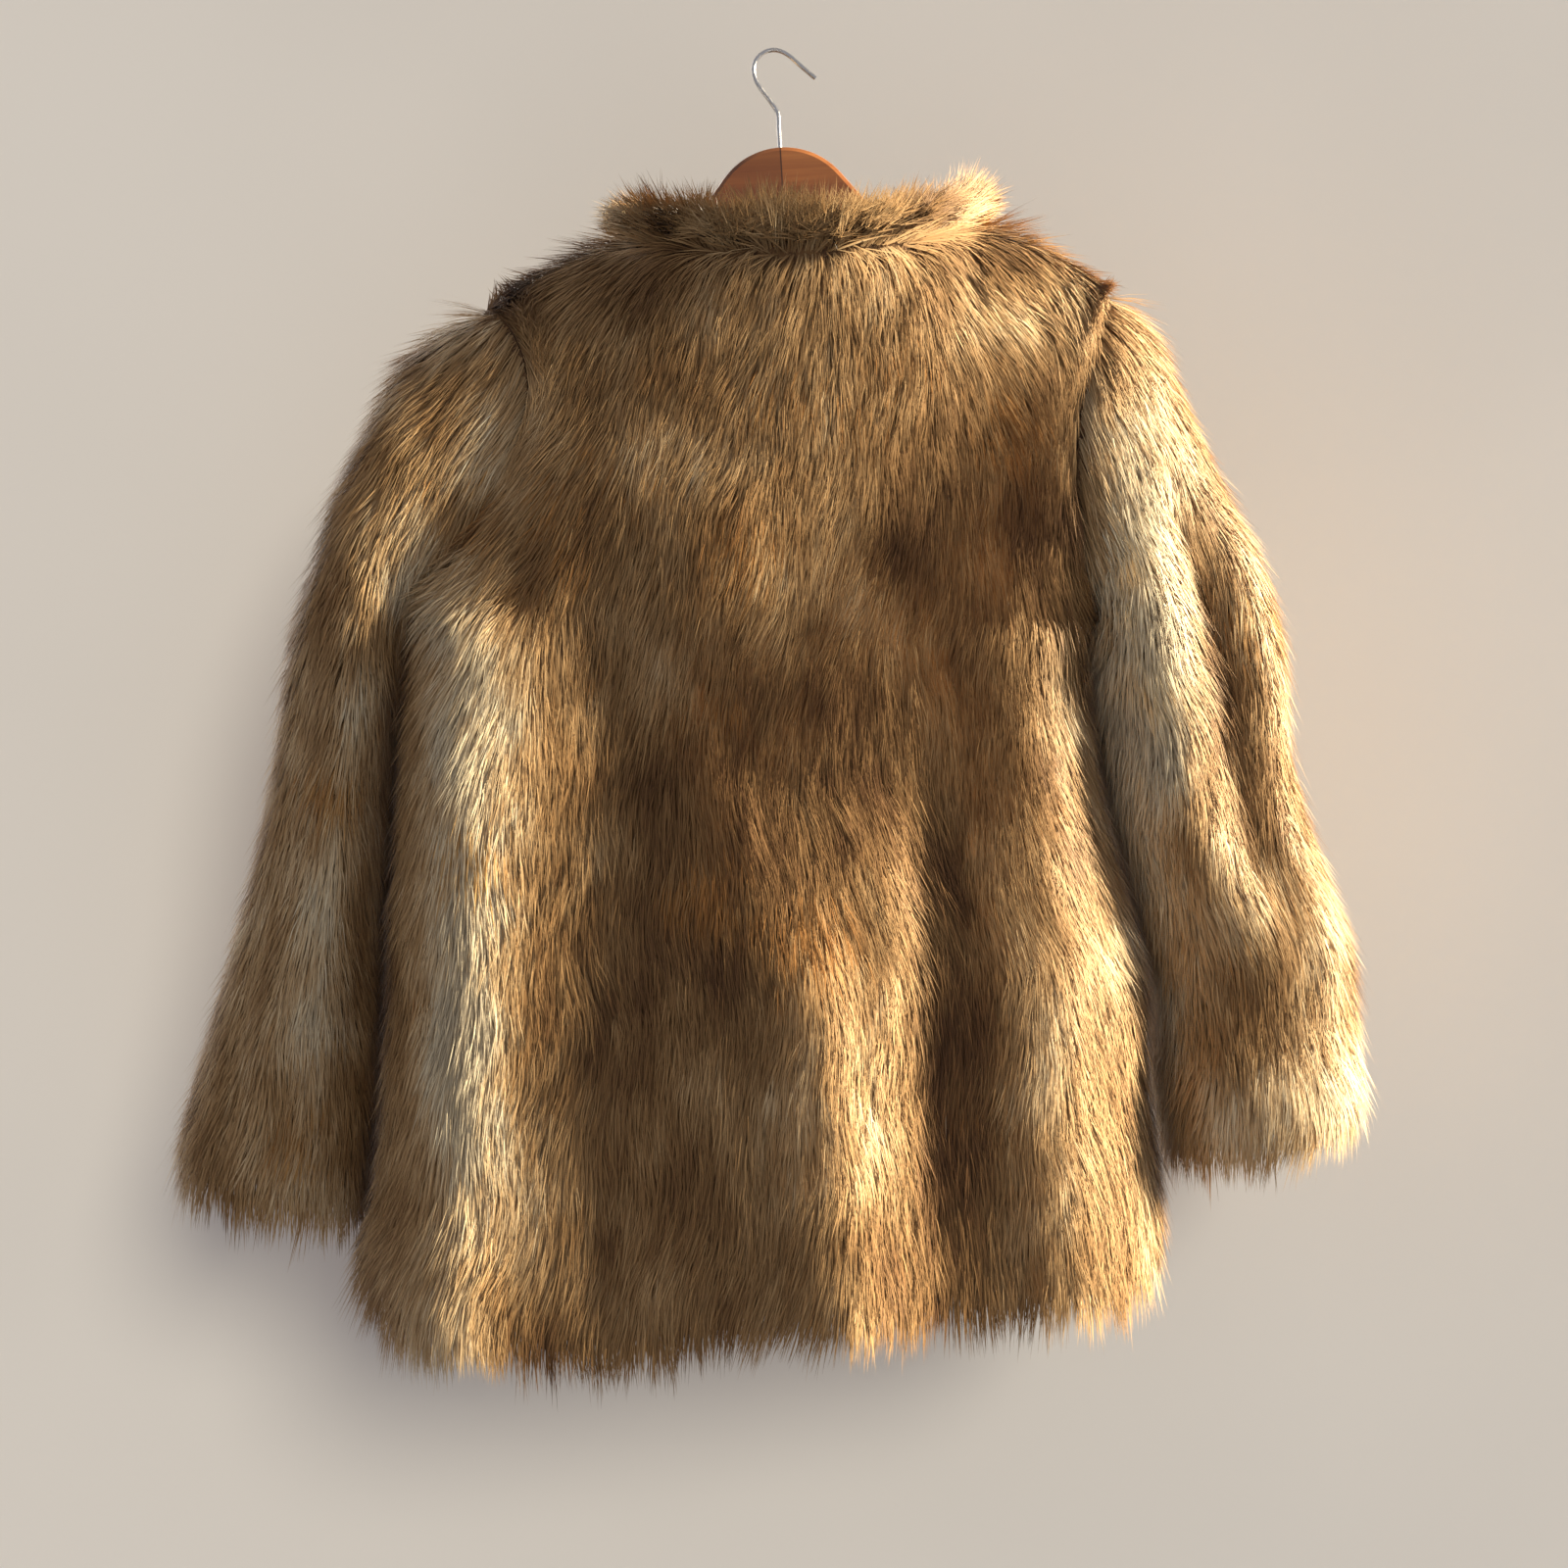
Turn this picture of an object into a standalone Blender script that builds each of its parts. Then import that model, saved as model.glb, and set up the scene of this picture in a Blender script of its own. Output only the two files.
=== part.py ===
"""A faux fur jacket hanging on a wooden hanger.

Metres, +Z up. The origin is the inside top of the hook. The jacket's back faces -Y and +X is the
wearer's right. Each piece of cloth is one wall, from its woven backing out to the tips of its pile.
The left and right sides differ, because the jacket hangs a little to one side on a tilted hanger.
"""

import math
from collections import namedtuple

import bmesh
import bpy
import numpy as np

# Cloth
WALL = 0.010  # backing and combed pile together
SEAM_GAP = 0.0003  # between two pieces at a seam
RING_GAP = 0.0006  # at the armholes and the neck, along the ring's axis, because they slant
FRONT_GAP = 0.0016  # between the two front edges

# How finely the cloth is divided
SHOULDER_COLUMNS = 11
NECK_COLUMNS = 16
PANEL_COLUMNS = 2 * SHOULDER_COLUMNS + NECK_COLUMNS
LOWER_ROWS = 14
UPPER_ROWS = 12
SLEEVE_ROWS = 19

BACK = -1
FRONT = 1

# Body, from the hem up to the underarm: side seams and how far the back and the fronts stand out
BodyLevel = namedtuple("BodyLevel", "z left right back front")
BODY = (
    BodyLevel(-0.790, -0.246, 0.228, 0.080, 0.074),
    BodyLevel(-0.735, -0.254, 0.235, 0.082, 0.076),
    BodyLevel(-0.690, -0.244, 0.236, 0.081, 0.075),
    BodyLevel(-0.628, -0.239, 0.229, 0.079, 0.073),
    BodyLevel(-0.550, -0.235, 0.225, 0.077, 0.071),
    BodyLevel(-0.508, -0.233, 0.214, 0.076, 0.070),
    BodyLevel(-0.448, -0.228, 0.199, 0.074, 0.068),
    BodyLevel(-0.388, -0.221, 0.191, 0.071, 0.065),
    BodyLevel(-0.322, -0.210, 0.188, 0.068, 0.062),
)
SECTION_POWER = 2.6  # how squarely a body section turns at its sides
EVEN_SHARE = 0.55  # share of the columns' spacing that is even across a section

# Hem height along a section, from the left side seam (0) to the right one (1)
HemPoint = namedtuple("HemPoint", "across back front")
HEM = (
    HemPoint(0.00, -0.740, -0.740),
    HemPoint(0.05, -0.768, -0.757),
    HemPoint(0.12, -0.782, -0.767),
    HemPoint(0.25, -0.781, -0.773),
    HemPoint(0.37, -0.787, -0.771),
    HemPoint(0.46, -0.773, -0.767),
    HemPoint(0.60, -0.767, -0.765),
    HemPoint(0.75, -0.761, -0.761),
    HemPoint(0.90, -0.759, -0.757),
    HemPoint(0.96, -0.754, -0.751),
    HemPoint(1.00, -0.741, -0.741),
)

# Shoulders and neck, as (x, z) on the shoulder seams at y = 0
LEFT_TIP = (-0.174, -0.152)
RIGHT_TIP = (0.204, -0.143)
LEFT_NECK = (-0.086, -0.111)
RIGHT_NECK = (0.120, -0.104)
LEFT_SHOULDER_BOW = 0.006  # how far the seam arches above a straight line
RIGHT_SHOULDER_BOW = 0.009
BACK_NECK_DEPTH = 0.052
BACK_NECK_DROP = 0.022
FRONT_NECK_DEPTH = 0.060
FRONT_NECK_DROP = 0.094
NECK_ROUNDNESS = 1.0  # power of the neck seam's curve as seen from above
NECK_DROP_POWER = 1.9  # and as seen from the front
SHOULDER_ROUNDNESS = (1.6, 0.5)  # powers of the curve from the chest over to the shoulder seam
ROW_CROWDING = 1.3  # how much closer the rows lie near the shoulder seam
UNDERARM_DIP = 0.030  # how far the row at the underarms dips in the middle of a panel
UNDERARM_FULLNESS = 0.3  # how much squarer the section is at the underarms
UNDERARM_REACH = 0.045  # how far down that reaches
YOKE_DEPTH = 0.050  # how far the yoke stands out below the neck
NECK_HOLD = 6  # how fast the neck seam's shape fades into the panel
EDGE_BLEND = 4  # how fast the armhole's shape fades into the panel

# Long folds of the back and the fronts, as soft ridges (or troughs, when height is negative)
Fold = namedtuple("Fold", "height x_hem x_top z_top fade left_width right_width")
BACK_FOLDS = (
    Fold(0.030, -0.197, -0.183, -0.295, 0.080, 0.028, 0.045),
    Fold(-0.010, -0.085, -0.080, -0.330, 0.080, 0.030, 0.060),
    Fold(0.014, 0.052, 0.018, -0.480, 0.090, 0.050, 0.018),
    Fold(-0.011, 0.105, 0.085, -0.400, 0.080, 0.022, 0.034),
    Fold(0.014, 0.188, 0.150, -0.320, 0.110, 0.034, 0.026),
    Fold(0.006, -0.075, -0.020, -0.240, 0.050, 0.040, 0.050),
)
FRONT_FOLDS = (
    Fold(0.013, -0.160, -0.130, -0.340, 0.100, 0.040, 0.030),
    Fold(-0.010, -0.095, -0.080, -0.380, 0.100, 0.030, 0.030),
    Fold(-0.009, 0.080, 0.085, -0.360, 0.110, 0.032, 0.026),
    Fold(0.014, 0.150, 0.130, -0.330, 0.090, 0.034, 0.044),
)

# Sleeve sections: the outermost and innermost points, half the depth, the middle's y, and how far
# the middle is pulled towards the body. The first row is the armhole, which the body shares.
Section = namedtuple("Section", "out_x out_z in_x in_z depth y bow")
OVAL_POWER = 0.85  # 1 is an ellipse, and less is squarer
BOW_POWER = 1.7  # how late the pull towards the body sets in
LEFT_SLEEVE = (
    Section(-0.174, -0.152, -0.210, -0.322, 0.046, 0.000, 0.045),
    Section(-0.202, -0.170, -0.217, -0.334, 0.047, 0.001, 0.026),
    Section(-0.227, -0.194, -0.219, -0.346, 0.050, 0.003, 0.010),
    Section(-0.254, -0.249, -0.222, -0.364, 0.053, 0.005, 0.000),
    Section(-0.272, -0.303, -0.225, -0.388, 0.055, 0.007, 0.000),
    Section(-0.291, -0.362, -0.229, -0.420, 0.056, 0.009, 0.000),
    Section(-0.305, -0.440, -0.234, -0.476, 0.056, 0.011, 0.000),
    Section(-0.320, -0.508, -0.239, -0.536, 0.056, 0.013, 0.000),
    Section(-0.337, -0.569, -0.242, -0.597, 0.057, 0.015, 0.000),
    Section(-0.355, -0.632, -0.246, -0.657, 0.058, 0.016, 0.000),
    Section(-0.363, -0.666, -0.250, -0.691, 0.058, 0.017, 0.000),
    Section(-0.361, -0.699, -0.253, -0.721, 0.055, 0.017, 0.000),
)
RIGHT_SLEEVE = (
    Section(0.204, -0.143, 0.188, -0.332, 0.046, 0.000, -0.016),
    Section(0.226, -0.165, 0.194, -0.342, 0.047, 0.001, -0.010),
    Section(0.240, -0.194, 0.195, -0.352, 0.050, 0.003, -0.004),
    Section(0.263, -0.247, 0.194, -0.368, 0.053, 0.005, 0.000),
    Section(0.289, -0.300, 0.195, -0.390, 0.055, 0.007, 0.000),
    Section(0.306, -0.356, 0.199, -0.424, 0.056, 0.009, 0.000),
    Section(0.315, -0.430, 0.208, -0.474, 0.056, 0.011, 0.000),
    Section(0.334, -0.492, 0.222, -0.528, 0.056, 0.013, 0.000),
    Section(0.354, -0.548, 0.232, -0.572, 0.057, 0.015, 0.000),
    Section(0.359, -0.604, 0.236, -0.622, 0.058, 0.016, 0.000),
    Section(0.358, -0.636, 0.240, -0.656, 0.058, 0.017, 0.000),
    Section(0.353, -0.664, 0.243, -0.682, 0.055, 0.017, 0.000),
)

# Folds along and across a sleeve: size, the angle round the section (0 at its inner side, 90 at
# the middle of its back) and the stretch of sections that it runs over
SleeveFold = namedtuple("SleeveFold", "height angle half_angle first last")
LEFT_SLEEVE_FOLDS = (
    SleeveFold(0.008, 62, 26, 2.5, 8.5),
    SleeveFold(-0.007, 112, 24, 4.0, 9.0),
    SleeveFold(0.006, 250, 34, 3.0, 9.0),
    SleeveFold(-0.006, 300, 26, 2.5, 7.0),
)
RIGHT_SLEEVE_FOLDS = (
    SleeveFold(0.008, 66, 24, 1.5, 7.0),
    SleeveFold(-0.016, 106, 18, 2.2, 7.4),
    SleeveFold(0.007, 138, 22, 3.2, 6.2),
    SleeveFold(-0.006, 80, 60, 7.6, 8.8),
    SleeveFold(0.006, 100, 60, 8.8, 10.4),
    SleeveFold(0.006, 240, 34, 3.0, 9.0),
    SleeveFold(-0.006, 290, 26, 2.5, 7.0),
)

# Collar band: height above the neck seam and how far it leans outwards there
CollarRow = namedtuple("CollarRow", "height lean")
COLLAR = (
    CollarRow(0.000, 0.000),
    CollarRow(0.006, 0.001),
    CollarRow(0.013, 0.004),
    CollarRow(0.020, 0.006),
    CollarRow(0.025, 0.006),
    CollarRow(0.029, 0.004),
)

# Hanger, in its own upright frame, before it is tilted about the hook's inside top
HANGER_TILT = math.radians(3.5)
BOARD_THICKNESS = 0.010
BOARD_EDGE = 0.003
DOME_TOP = -0.059
DOME_RADIUS = 0.046
DOME_END = math.radians(38)
DOME_POINTS = 17  # on each side
ArmPoint = namedtuple("ArmPoint", "x top bottom")
ARM = (
    ArmPoint(0.062, -0.1095, -0.145),
    ArmPoint(0.092, -0.1170, -0.151),
    ArmPoint(0.122, -0.1262, -0.159),
    ArmPoint(0.150, -0.1378, -0.168),
    ArmPoint(0.164, -0.1500, -0.174),
)
ARM_END = 0.180
ARM_STEPS = 13
TIP_STEPS = 11
BOARD_FOOT = -0.142  # lower edge at the middle

# Hook
WIRE_RADIUS = 0.0014
HOOK_RADIUS = 0.0136  # to the middle of the wire
HOOK_TURN = math.radians(12)  # about the stem
HOOK_SHOULDER = -0.0375  # where the straight stem ends
HOOK_STRAIGHT = 0.008  # how far below that the stem is held straight
HOOK_NECK = (-0.0042, -0.0305)  # where the wire leaves the stem for the bend
HOOK_STEPS = 46
HOOK_TIP = (0.0250, -0.0155)
STEM_DEPTH = 0.018  # how far the stem goes into the wood
STEM_CLEARANCE = 0.0003

Finish = namedtuple("Finish", "colour roughness metallic")
FUR = Finish((0.42, 0.27, 0.13), 0.75, 0.0)
SLEEVE_FUR = Finish((0.45, 0.29, 0.15), 0.75, 0.0)
COLLAR_FUR = Finish((0.40, 0.27, 0.13), 0.75, 0.0)
WOOD = Finish((0.29, 0.10, 0.028), 0.32, 0.0)
CHROME = Finish((0.62, 0.61, 0.60), 0.18, 1.0)


def clear_scene():
    for item in list(bpy.data.objects):
        bpy.data.objects.remove(item, do_unlink=True)


def smooth_read(knots, values, at):
    """Reads a smooth curve through the points (knots, values) at the places `at`."""
    knots = np.asarray(knots, float)
    values = np.asarray(values, float)
    order = np.argsort(knots)
    knots = knots[order]
    values = values[order]
    at = np.clip(at, knots[0], knots[-1])
    slopes = np.gradient(values, knots)
    low = np.clip(np.searchsorted(knots, at, side="right") - 1, 0, len(knots) - 2)
    span = knots[low + 1] - knots[low]
    part = (at - knots[low]) / span
    ease = part * part * (3 - 2 * part)
    lead = part * (1 - part) ** 2 * span
    lag = part * part * (1 - part) * span
    ends = values[low] * (1 - ease) + values[low + 1] * ease
    return ends + slopes[low] * lead - slopes[low + 1] * lag


def column_of(table, name):
    return [getattr(row, name) for row in table]


def read_table(table, key, name, at):
    return smooth_read(column_of(table, key), column_of(table, name), at)


def section_share(across):
    """How far across a body section a column lies, from -1 at the left seam to 1 at the right."""
    even = 2 * across - 1
    return EVEN_SHARE * even + (1 - EVEN_SHARE) * np.sin(math.pi / 2 * even)


def section_depth(share):
    """How far a body section stands out there, as a share of its depth."""
    return np.sqrt(np.clip(1 - np.abs(share) ** SECTION_POWER, 0, 1))


def fold_height(folds, x, z):
    """How far the folds move a panel outwards at (x, z)."""
    moved = np.zeros_like(x)
    hem = BODY[0].z
    for fold in folds:
        run = np.clip((fold.z_top - z) / (fold.z_top - hem), 0, 1)
        crest = fold.x_top + (fold.x_hem - fold.x_top) * run
        off = x - crest
        width = np.where(off < 0, fold.left_width, fold.right_width)
        rise = np.clip((fold.z_top - z) / fold.fade, 0, 1)
        rise = rise * rise * (3 - 2 * rise)
        moved += fold.height * rise * np.exp(-((off / width) ** 2))
    return moved


def oval(section, angle):
    """Points of a sleeve section or an armhole. Angle 0 is its inner point and pi its outer one, and
    the back lies between them."""
    part = (1 - np.cos(angle)) / 2
    turn = np.sin(angle)
    pull = section.bow * np.abs(turn) ** BOW_POWER
    x = section.in_x + (section.out_x - section.in_x) * part + pull
    z = section.in_z + (section.out_z - section.in_z) * part
    y = section.y - section.depth * np.sign(turn) * np.abs(turn) ** OVAL_POWER
    return np.stack([x, y, z], axis=-1)


def shoulder_line(neck, tip, bow, share):
    """(x, z) on a shoulder seam, from the neck (0) to the tip (1)."""
    x = neck[0] + (tip[0] - neck[0]) * share
    z = neck[1] + (tip[1] - neck[1]) * share + bow * np.sin(math.pi * share)
    return x, z


def neck_line(side, angle):
    """Points of the neck seam from the left neck point (0) to the right one (pi)."""
    drop, depth = (BACK_NECK_DROP, BACK_NECK_DEPTH)
    if side == FRONT:
        drop, depth = (FRONT_NECK_DROP, FRONT_NECK_DEPTH)
    part = (1 - np.cos(angle)) / 2
    arch = np.sin(angle).clip(0, 1)
    x = LEFT_NECK[0] + (RIGHT_NECK[0] - LEFT_NECK[0]) * part
    z = LEFT_NECK[1] + (RIGHT_NECK[1] - LEFT_NECK[1]) * part - drop * arch**NECK_DROP_POWER
    y = side * depth * arch**NECK_ROUNDNESS
    return np.stack([x, y, z], axis=-1)


def top_edge(side):
    """Points along the shoulder seams and the neck seam, from the left tip to the right one."""
    along = np.linspace(0, 1, SHOULDER_COLUMNS + 1)
    left_x, left_z = shoulder_line(LEFT_NECK, LEFT_TIP, LEFT_SHOULDER_BOW, along[::-1])
    right_x, right_z = shoulder_line(RIGHT_NECK, RIGHT_TIP, RIGHT_SHOULDER_BOW, along)
    flat = np.zeros_like(along)
    left = np.stack([left_x, flat, left_z], axis=-1)
    right = np.stack([right_x, flat, right_z], axis=-1)
    neck = neck_line(side, np.linspace(0, math.pi, NECK_COLUMNS + 1))
    return np.concatenate([left[:-1], neck, right[1:]])


def body_grid(side):
    """The outer surface of the back or of both fronts: rows from the hem up, columns from the left
    side seam or armhole to the right one."""
    across = np.linspace(0, 1, PANEL_COLUMNS + 1)
    share = section_share(across)
    name = "back" if side == BACK else "front"
    folds = BACK_FOLDS if side == BACK else FRONT_FOLDS
    stands_out = section_depth(share)

    hem_z = read_table(HEM, "across", name, across)
    underarm_z = LEFT_SLEEVE[0].in_z + (RIGHT_SLEEVE[0].in_z - LEFT_SLEEVE[0].in_z) * across
    underarm_z = underarm_z - UNDERARM_DIP * stands_out
    rise = np.linspace(0, 1, LOWER_ROWS + 1)[:, None]
    z = hem_z + (underarm_z - hem_z) * rise
    left = read_table(BODY, "z", "left", z)
    right = read_table(BODY, "z", "right", z)
    depth = read_table(BODY, "z", name, z)
    x = (left + right) / 2 + (right - left) / 2 * share
    x[-1, 0] = LEFT_SLEEVE[0].in_x
    x[-1, -1] = RIGHT_SLEEVE[0].in_x
    fullness = UNDERARM_FULLNESS * np.exp((z - underarm_z) / UNDERARM_REACH)
    y = side * (depth * stands_out ** (1 - fullness) + fold_height(folds, x, z) * stands_out)
    lower = np.stack([x, y, z], axis=-1)

    top = top_edge(side)
    step = np.linspace(0, 1, UPPER_ROWS + 1)[1:]
    rise = (1 - (1 - step) ** ROW_CROWDING)[:, None]
    angle = -side * math.pi * step
    left_edge = oval(LEFT_SLEEVE[0], angle)
    right_edge = oval(RIGHT_SLEEVE[0], angle)
    base = lower[-1]
    x = base[:, 0] * (1 - rise) + top[:, 0] * rise
    z = base[:, 2] * (1 - rise) + top[:, 2] * rise
    hold_left = (1 - across) ** EDGE_BLEND
    hold_right = across**EDGE_BLEND
    x_off = (left_edge[:, :1] - x[:, :1]) * hold_left + (right_edge[:, :1] - x[:, -1:]) * hold_right
    z_off = (left_edge[:, 2:] - z[:, :1]) * hold_left + (right_edge[:, 2:] - z[:, -1:]) * hold_right
    x = x + x_off
    z = z + z_off
    first_power, last_power = SHOULDER_ROUNDNESS
    turn_over = (1 - rise**first_power) ** last_power
    neck_share = rise**NECK_HOLD
    yoke = YOKE_DEPTH * np.sin(math.pi * across) ** 3
    top_depth = yoke * (1 - neck_share) + np.abs(top[:, 1]) * neck_share
    chest = np.sqrt(top_depth**2 + (depth[-1] ** 2 - top_depth**2) * turn_over**2)
    edge = np.abs(left_edge[:, 1:2]) * (1 - stands_out)
    y = side * (edge + chest * stands_out + fold_height(folds, x, z) * stands_out * turn_over)
    upper = np.stack([x, y, z], axis=-1)
    upper[-1] = top
    upper[:, 0] = left_edge
    upper[:, -1] = right_edge
    return np.concatenate([lower, upper])


def section_between(sections, place):
    """The sleeve section at a place between the rows of its table."""
    rows = np.arange(len(sections))
    return Section(*(float(smooth_read(rows, column, place)) for column in zip(*sections)))


def sleeve_grid(sections, folds):
    """A sleeve's outer surface: rows from the armhole to the cuff, columns round the section."""
    angle = np.linspace(0, 2 * math.pi, 2 * UPPER_ROWS + 1)[:-1]
    rows = []
    for place in np.linspace(0, len(sections) - 1, SLEEVE_ROWS + 1):
        section = section_between(sections, place)
        ring = oval(section, angle)
        middle = ring.mean(axis=0)
        outwards = ring - middle
        outwards /= np.linalg.norm(outwards, axis=1, keepdims=True)
        moved = np.zeros_like(angle)
        for fold in folds:
            apart = (np.degrees(angle) - fold.angle + 180) % 360 - 180
            run = np.clip((place - fold.first) / (fold.last - fold.first), 0, 1)
            strength = math.sin(math.pi * run) ** 0.8
            moved += fold.height * strength * np.exp(-((apart / fold.half_angle) ** 2))
        rows.append(ring + outwards * moved[:, None])
    return np.array(rows)


def collar_grid():
    """The collar's outer surface: rows up from the neck seam, columns from the centre front round
    the left side and the back to the centre front again."""
    half = NECK_COLUMNS // 2
    front = neck_line(FRONT, np.linspace(0, math.pi, NECK_COLUMNS + 1))
    back = neck_line(BACK, np.linspace(0, math.pi, NECK_COLUMNS + 1))
    seam = np.concatenate([front[half:0:-1], back, front[-2 : half - 1 : -1]])
    middle = (seam[:, :2].min(axis=0) + seam[:, :2].max(axis=0)) / 2
    outwards = seam[:, :2] - middle
    outwards /= np.linalg.norm(outwards, axis=1, keepdims=True)
    rows = []
    for row in COLLAR:
        level = seam.copy()
        level[:, :2] += outwards * row.lean
        level[:, 2] += row.height
        rows.append(level)
    return np.array(rows)


def quads_of(rows, columns, closed):
    """Corner numbers of each quad of a grid, column by column."""
    last = columns if closed else columns - 1
    found = []
    for row in range(rows - 1):
        for column in range(last):
            beside = (column + 1) % columns
            found.append(
                (
                    row * columns + column,
                    row * columns + beside,
                    (row + 1) * columns + beside,
                    (row + 1) * columns + column,
                )
            )
    return np.array(found)


Piece = namedtuple("Piece", "name grid closed faces_out pulled moved finish")


def point_key(point):
    """What a point is looked up by, so that pieces find the points that they share."""
    return tuple(np.round(point, 6))


def ring_normals(ring, axis):
    """Normals of a closed ring of points, square to it and to the axis that it goes round."""
    along = np.roll(ring, -1, axis=0) - np.roll(ring, 1, axis=0)
    normals = np.cross(along, axis)
    normals /= np.linalg.norm(normals, axis=1, keepdims=True)
    return normals * np.sign((normals * (ring - ring.mean(axis=0))).sum())


def ring_axis(ring):
    """The axis that a ring of points goes round."""
    return np.cross(ring, np.roll(ring, -1, axis=0)).sum(axis=0)


def seam_normals(left_armhole, right_armhole, collar):
    """The directions of the rims at the armholes and the neck, by point. The whole collar is level
    through its wall."""
    found = {}
    for ring in (left_armhole, right_armhole):
        middle = ring.mean(axis=0)
        found.update(zip(map(point_key, ring), ring_normals(ring, ring_axis(ring - middle))))
    level = ring_normals(collar[0, :-1], (0, 0, 1))
    for row in collar:
        found.update(zip(map(point_key, row), level))
    return found


def shared_normals(pieces, at_seams):
    """A normal at each grid point, averaged over all the pieces that meet there, so that walls
    stay flush across the seams. The rims at shoulder and side seams lie in the plane y = 0."""
    found = {}
    for piece in pieces:
        rows, columns = piece.grid.shape[:2]
        points = piece.grid.reshape(-1, 3)
        for quad in quads_of(rows, columns, piece.closed):
            a, b, c, d = points[quad]
            normal = np.cross(c - a, d - b) * piece.faces_out
            for corner in quad:
                key = point_key(points[corner])
                found[key] = found.get(key, 0) + normal
    for key, normal in found.items():
        if key[1] == 0:
            normal[1] = 0
    found.update(at_seams)
    result = []
    for piece in pieces:
        points = piece.grid.reshape(-1, 3)
        normals = np.array([found[point_key(point)] for point in points])
        normals /= np.linalg.norm(normals, axis=1, keepdims=True)
        result.append(normals.reshape(piece.grid.shape))
    return result


def pull_edge(outer, inner, edge, distance):
    """Moves one edge of a wall back from its neighbour, square to the wall's rim."""
    axis, index = edge
    beside = 1 if index == 0 else -2
    rim = np.take(outer, index, axis=axis)
    back_rim = np.take(inner, index, axis=axis)
    inside = np.take(outer, beside, axis=axis) - rim
    away = np.cross(np.gradient(rim, axis=0), rim - back_rim)
    away /= np.linalg.norm(away, axis=1, keepdims=True)
    away *= np.sign((away * inside).sum())
    where = [slice(None), slice(None)]
    where[axis] = index
    outer[tuple(where)] += away * distance
    inner[tuple(where)] += away * distance


FIRST_COLUMN = (1, 0)
LAST_COLUMN = (1, -1)


def wall_object(piece, normals):
    """Makes a closed wall of a piece's outer grid and its inner copy. The two triangles of each rim
    face are split the same way on both sides of a seam."""
    outer = piece.grid.copy()
    inner = outer - normals * WALL
    for edge, distance in piece.pulled:
        pull_edge(outer, inner, edge, distance)
    outer += piece.moved
    inner += piece.moved
    rows, columns = outer.shape[:2]
    count = rows * columns
    quads = quads_of(rows, columns, piece.closed)
    faces = [tuple(quad) for quad in quads]
    faces += [tuple(quad[::-1] + count) for quad in quads]
    numbers = np.arange(count).reshape(rows, columns)
    around = np.append(np.arange(columns), 0) if piece.closed else np.arange(columns)
    rims = [numbers[0, around], numbers[-1, around]]
    if not piece.closed:
        rims += [numbers[:, 0], numbers[:, -1]]
    seam_points = piece.grid.reshape(-1, 3)
    for rim in rims:
        for first, second in zip(rim[:-1], rim[1:]):
            if tuple(seam_points[first][::-1]) > tuple(seam_points[second][::-1]):
                first, second = second, first
            faces.append((first, second, first + count))
            faces.append((second, second + count, first + count))
    mesh = bpy.data.meshes.new(piece.name)
    points = np.concatenate([outer.reshape(-1, 3), inner.reshape(-1, 3)])
    mesh.from_pydata(points.tolist(), [], [tuple(map(int, face)) for face in faces])
    work = bmesh.new()
    work.from_mesh(mesh)
    bmesh.ops.recalc_face_normals(work, faces=work.faces)
    if work.calc_volume(signed=True) < 0:
        bmesh.ops.reverse_faces(work, faces=work.faces)
    work.to_mesh(mesh)
    work.free()
    return place_object(piece.name, mesh, piece.finish)


def place_object(name, data, finish):
    """Links a new object and gives it its material."""
    made = bpy.data.objects.new(name, data)
    bpy.context.scene.collection.objects.link(made)
    material = bpy.data.materials.new(name)
    material.use_nodes = True
    shader = material.node_tree.nodes["Principled BSDF"]
    shader.inputs["Base Color"].default_value = (*finish.colour, 1)
    shader.inputs["Roughness"].default_value = finish.roughness
    shader.inputs["Metallic"].default_value = finish.metallic
    data.materials.append(material)
    if isinstance(data, bpy.types.Mesh):
        data.shade_smooth()
        data.set_sharp_from_angle(angle=math.radians(50))
    return made


def cloth_pieces():
    """The jacket's pieces as outer grids, with the edges pulled back at the front opening and how far
    each piece moves away from its seams. Also gives the directions of the rims at the armholes and
    the neck."""
    fronts = body_grid(FRONT)
    middle = PANEL_COLUMNS // 2
    left_sleeve = sleeve_grid(LEFT_SLEEVE, LEFT_SLEEVE_FOLDS)
    right_sleeve = sleeve_grid(RIGHT_SLEEVE, RIGHT_SLEEVE_FOLDS)
    collar = collar_grid()
    left_edge = (FIRST_COLUMN, FRONT_GAP / 2)
    right_edge = (LAST_COLUMN, FRONT_GAP / 2)
    backwards = (0, -SEAM_GAP / 2, 0)
    forwards = (0, SEAM_GAP / 2, 0)
    left = (-RING_GAP, 0, 0)
    right = (RING_GAP, 0, 0)
    up = (0, 0, RING_GAP)
    both_edges = (left_edge, right_edge)
    pieces = [
        Piece("back", body_grid(BACK), False, 1, (), backwards, FUR),
        Piece("front_left", fronts[:, : middle + 1], False, -1, (right_edge,), forwards, FUR),
        Piece("front_right", fronts[:, middle:], False, -1, (left_edge,), forwards, FUR),
        Piece("sleeve_left", left_sleeve, True, 1, (), left, SLEEVE_FUR),
        Piece("sleeve_right", right_sleeve, True, -1, (), right, SLEEVE_FUR),
        Piece("collar", collar, False, 1, both_edges, up, COLLAR_FUR),
    ]
    return pieces, seam_normals(left_sleeve[0], right_sleeve[0], collar)


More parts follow.
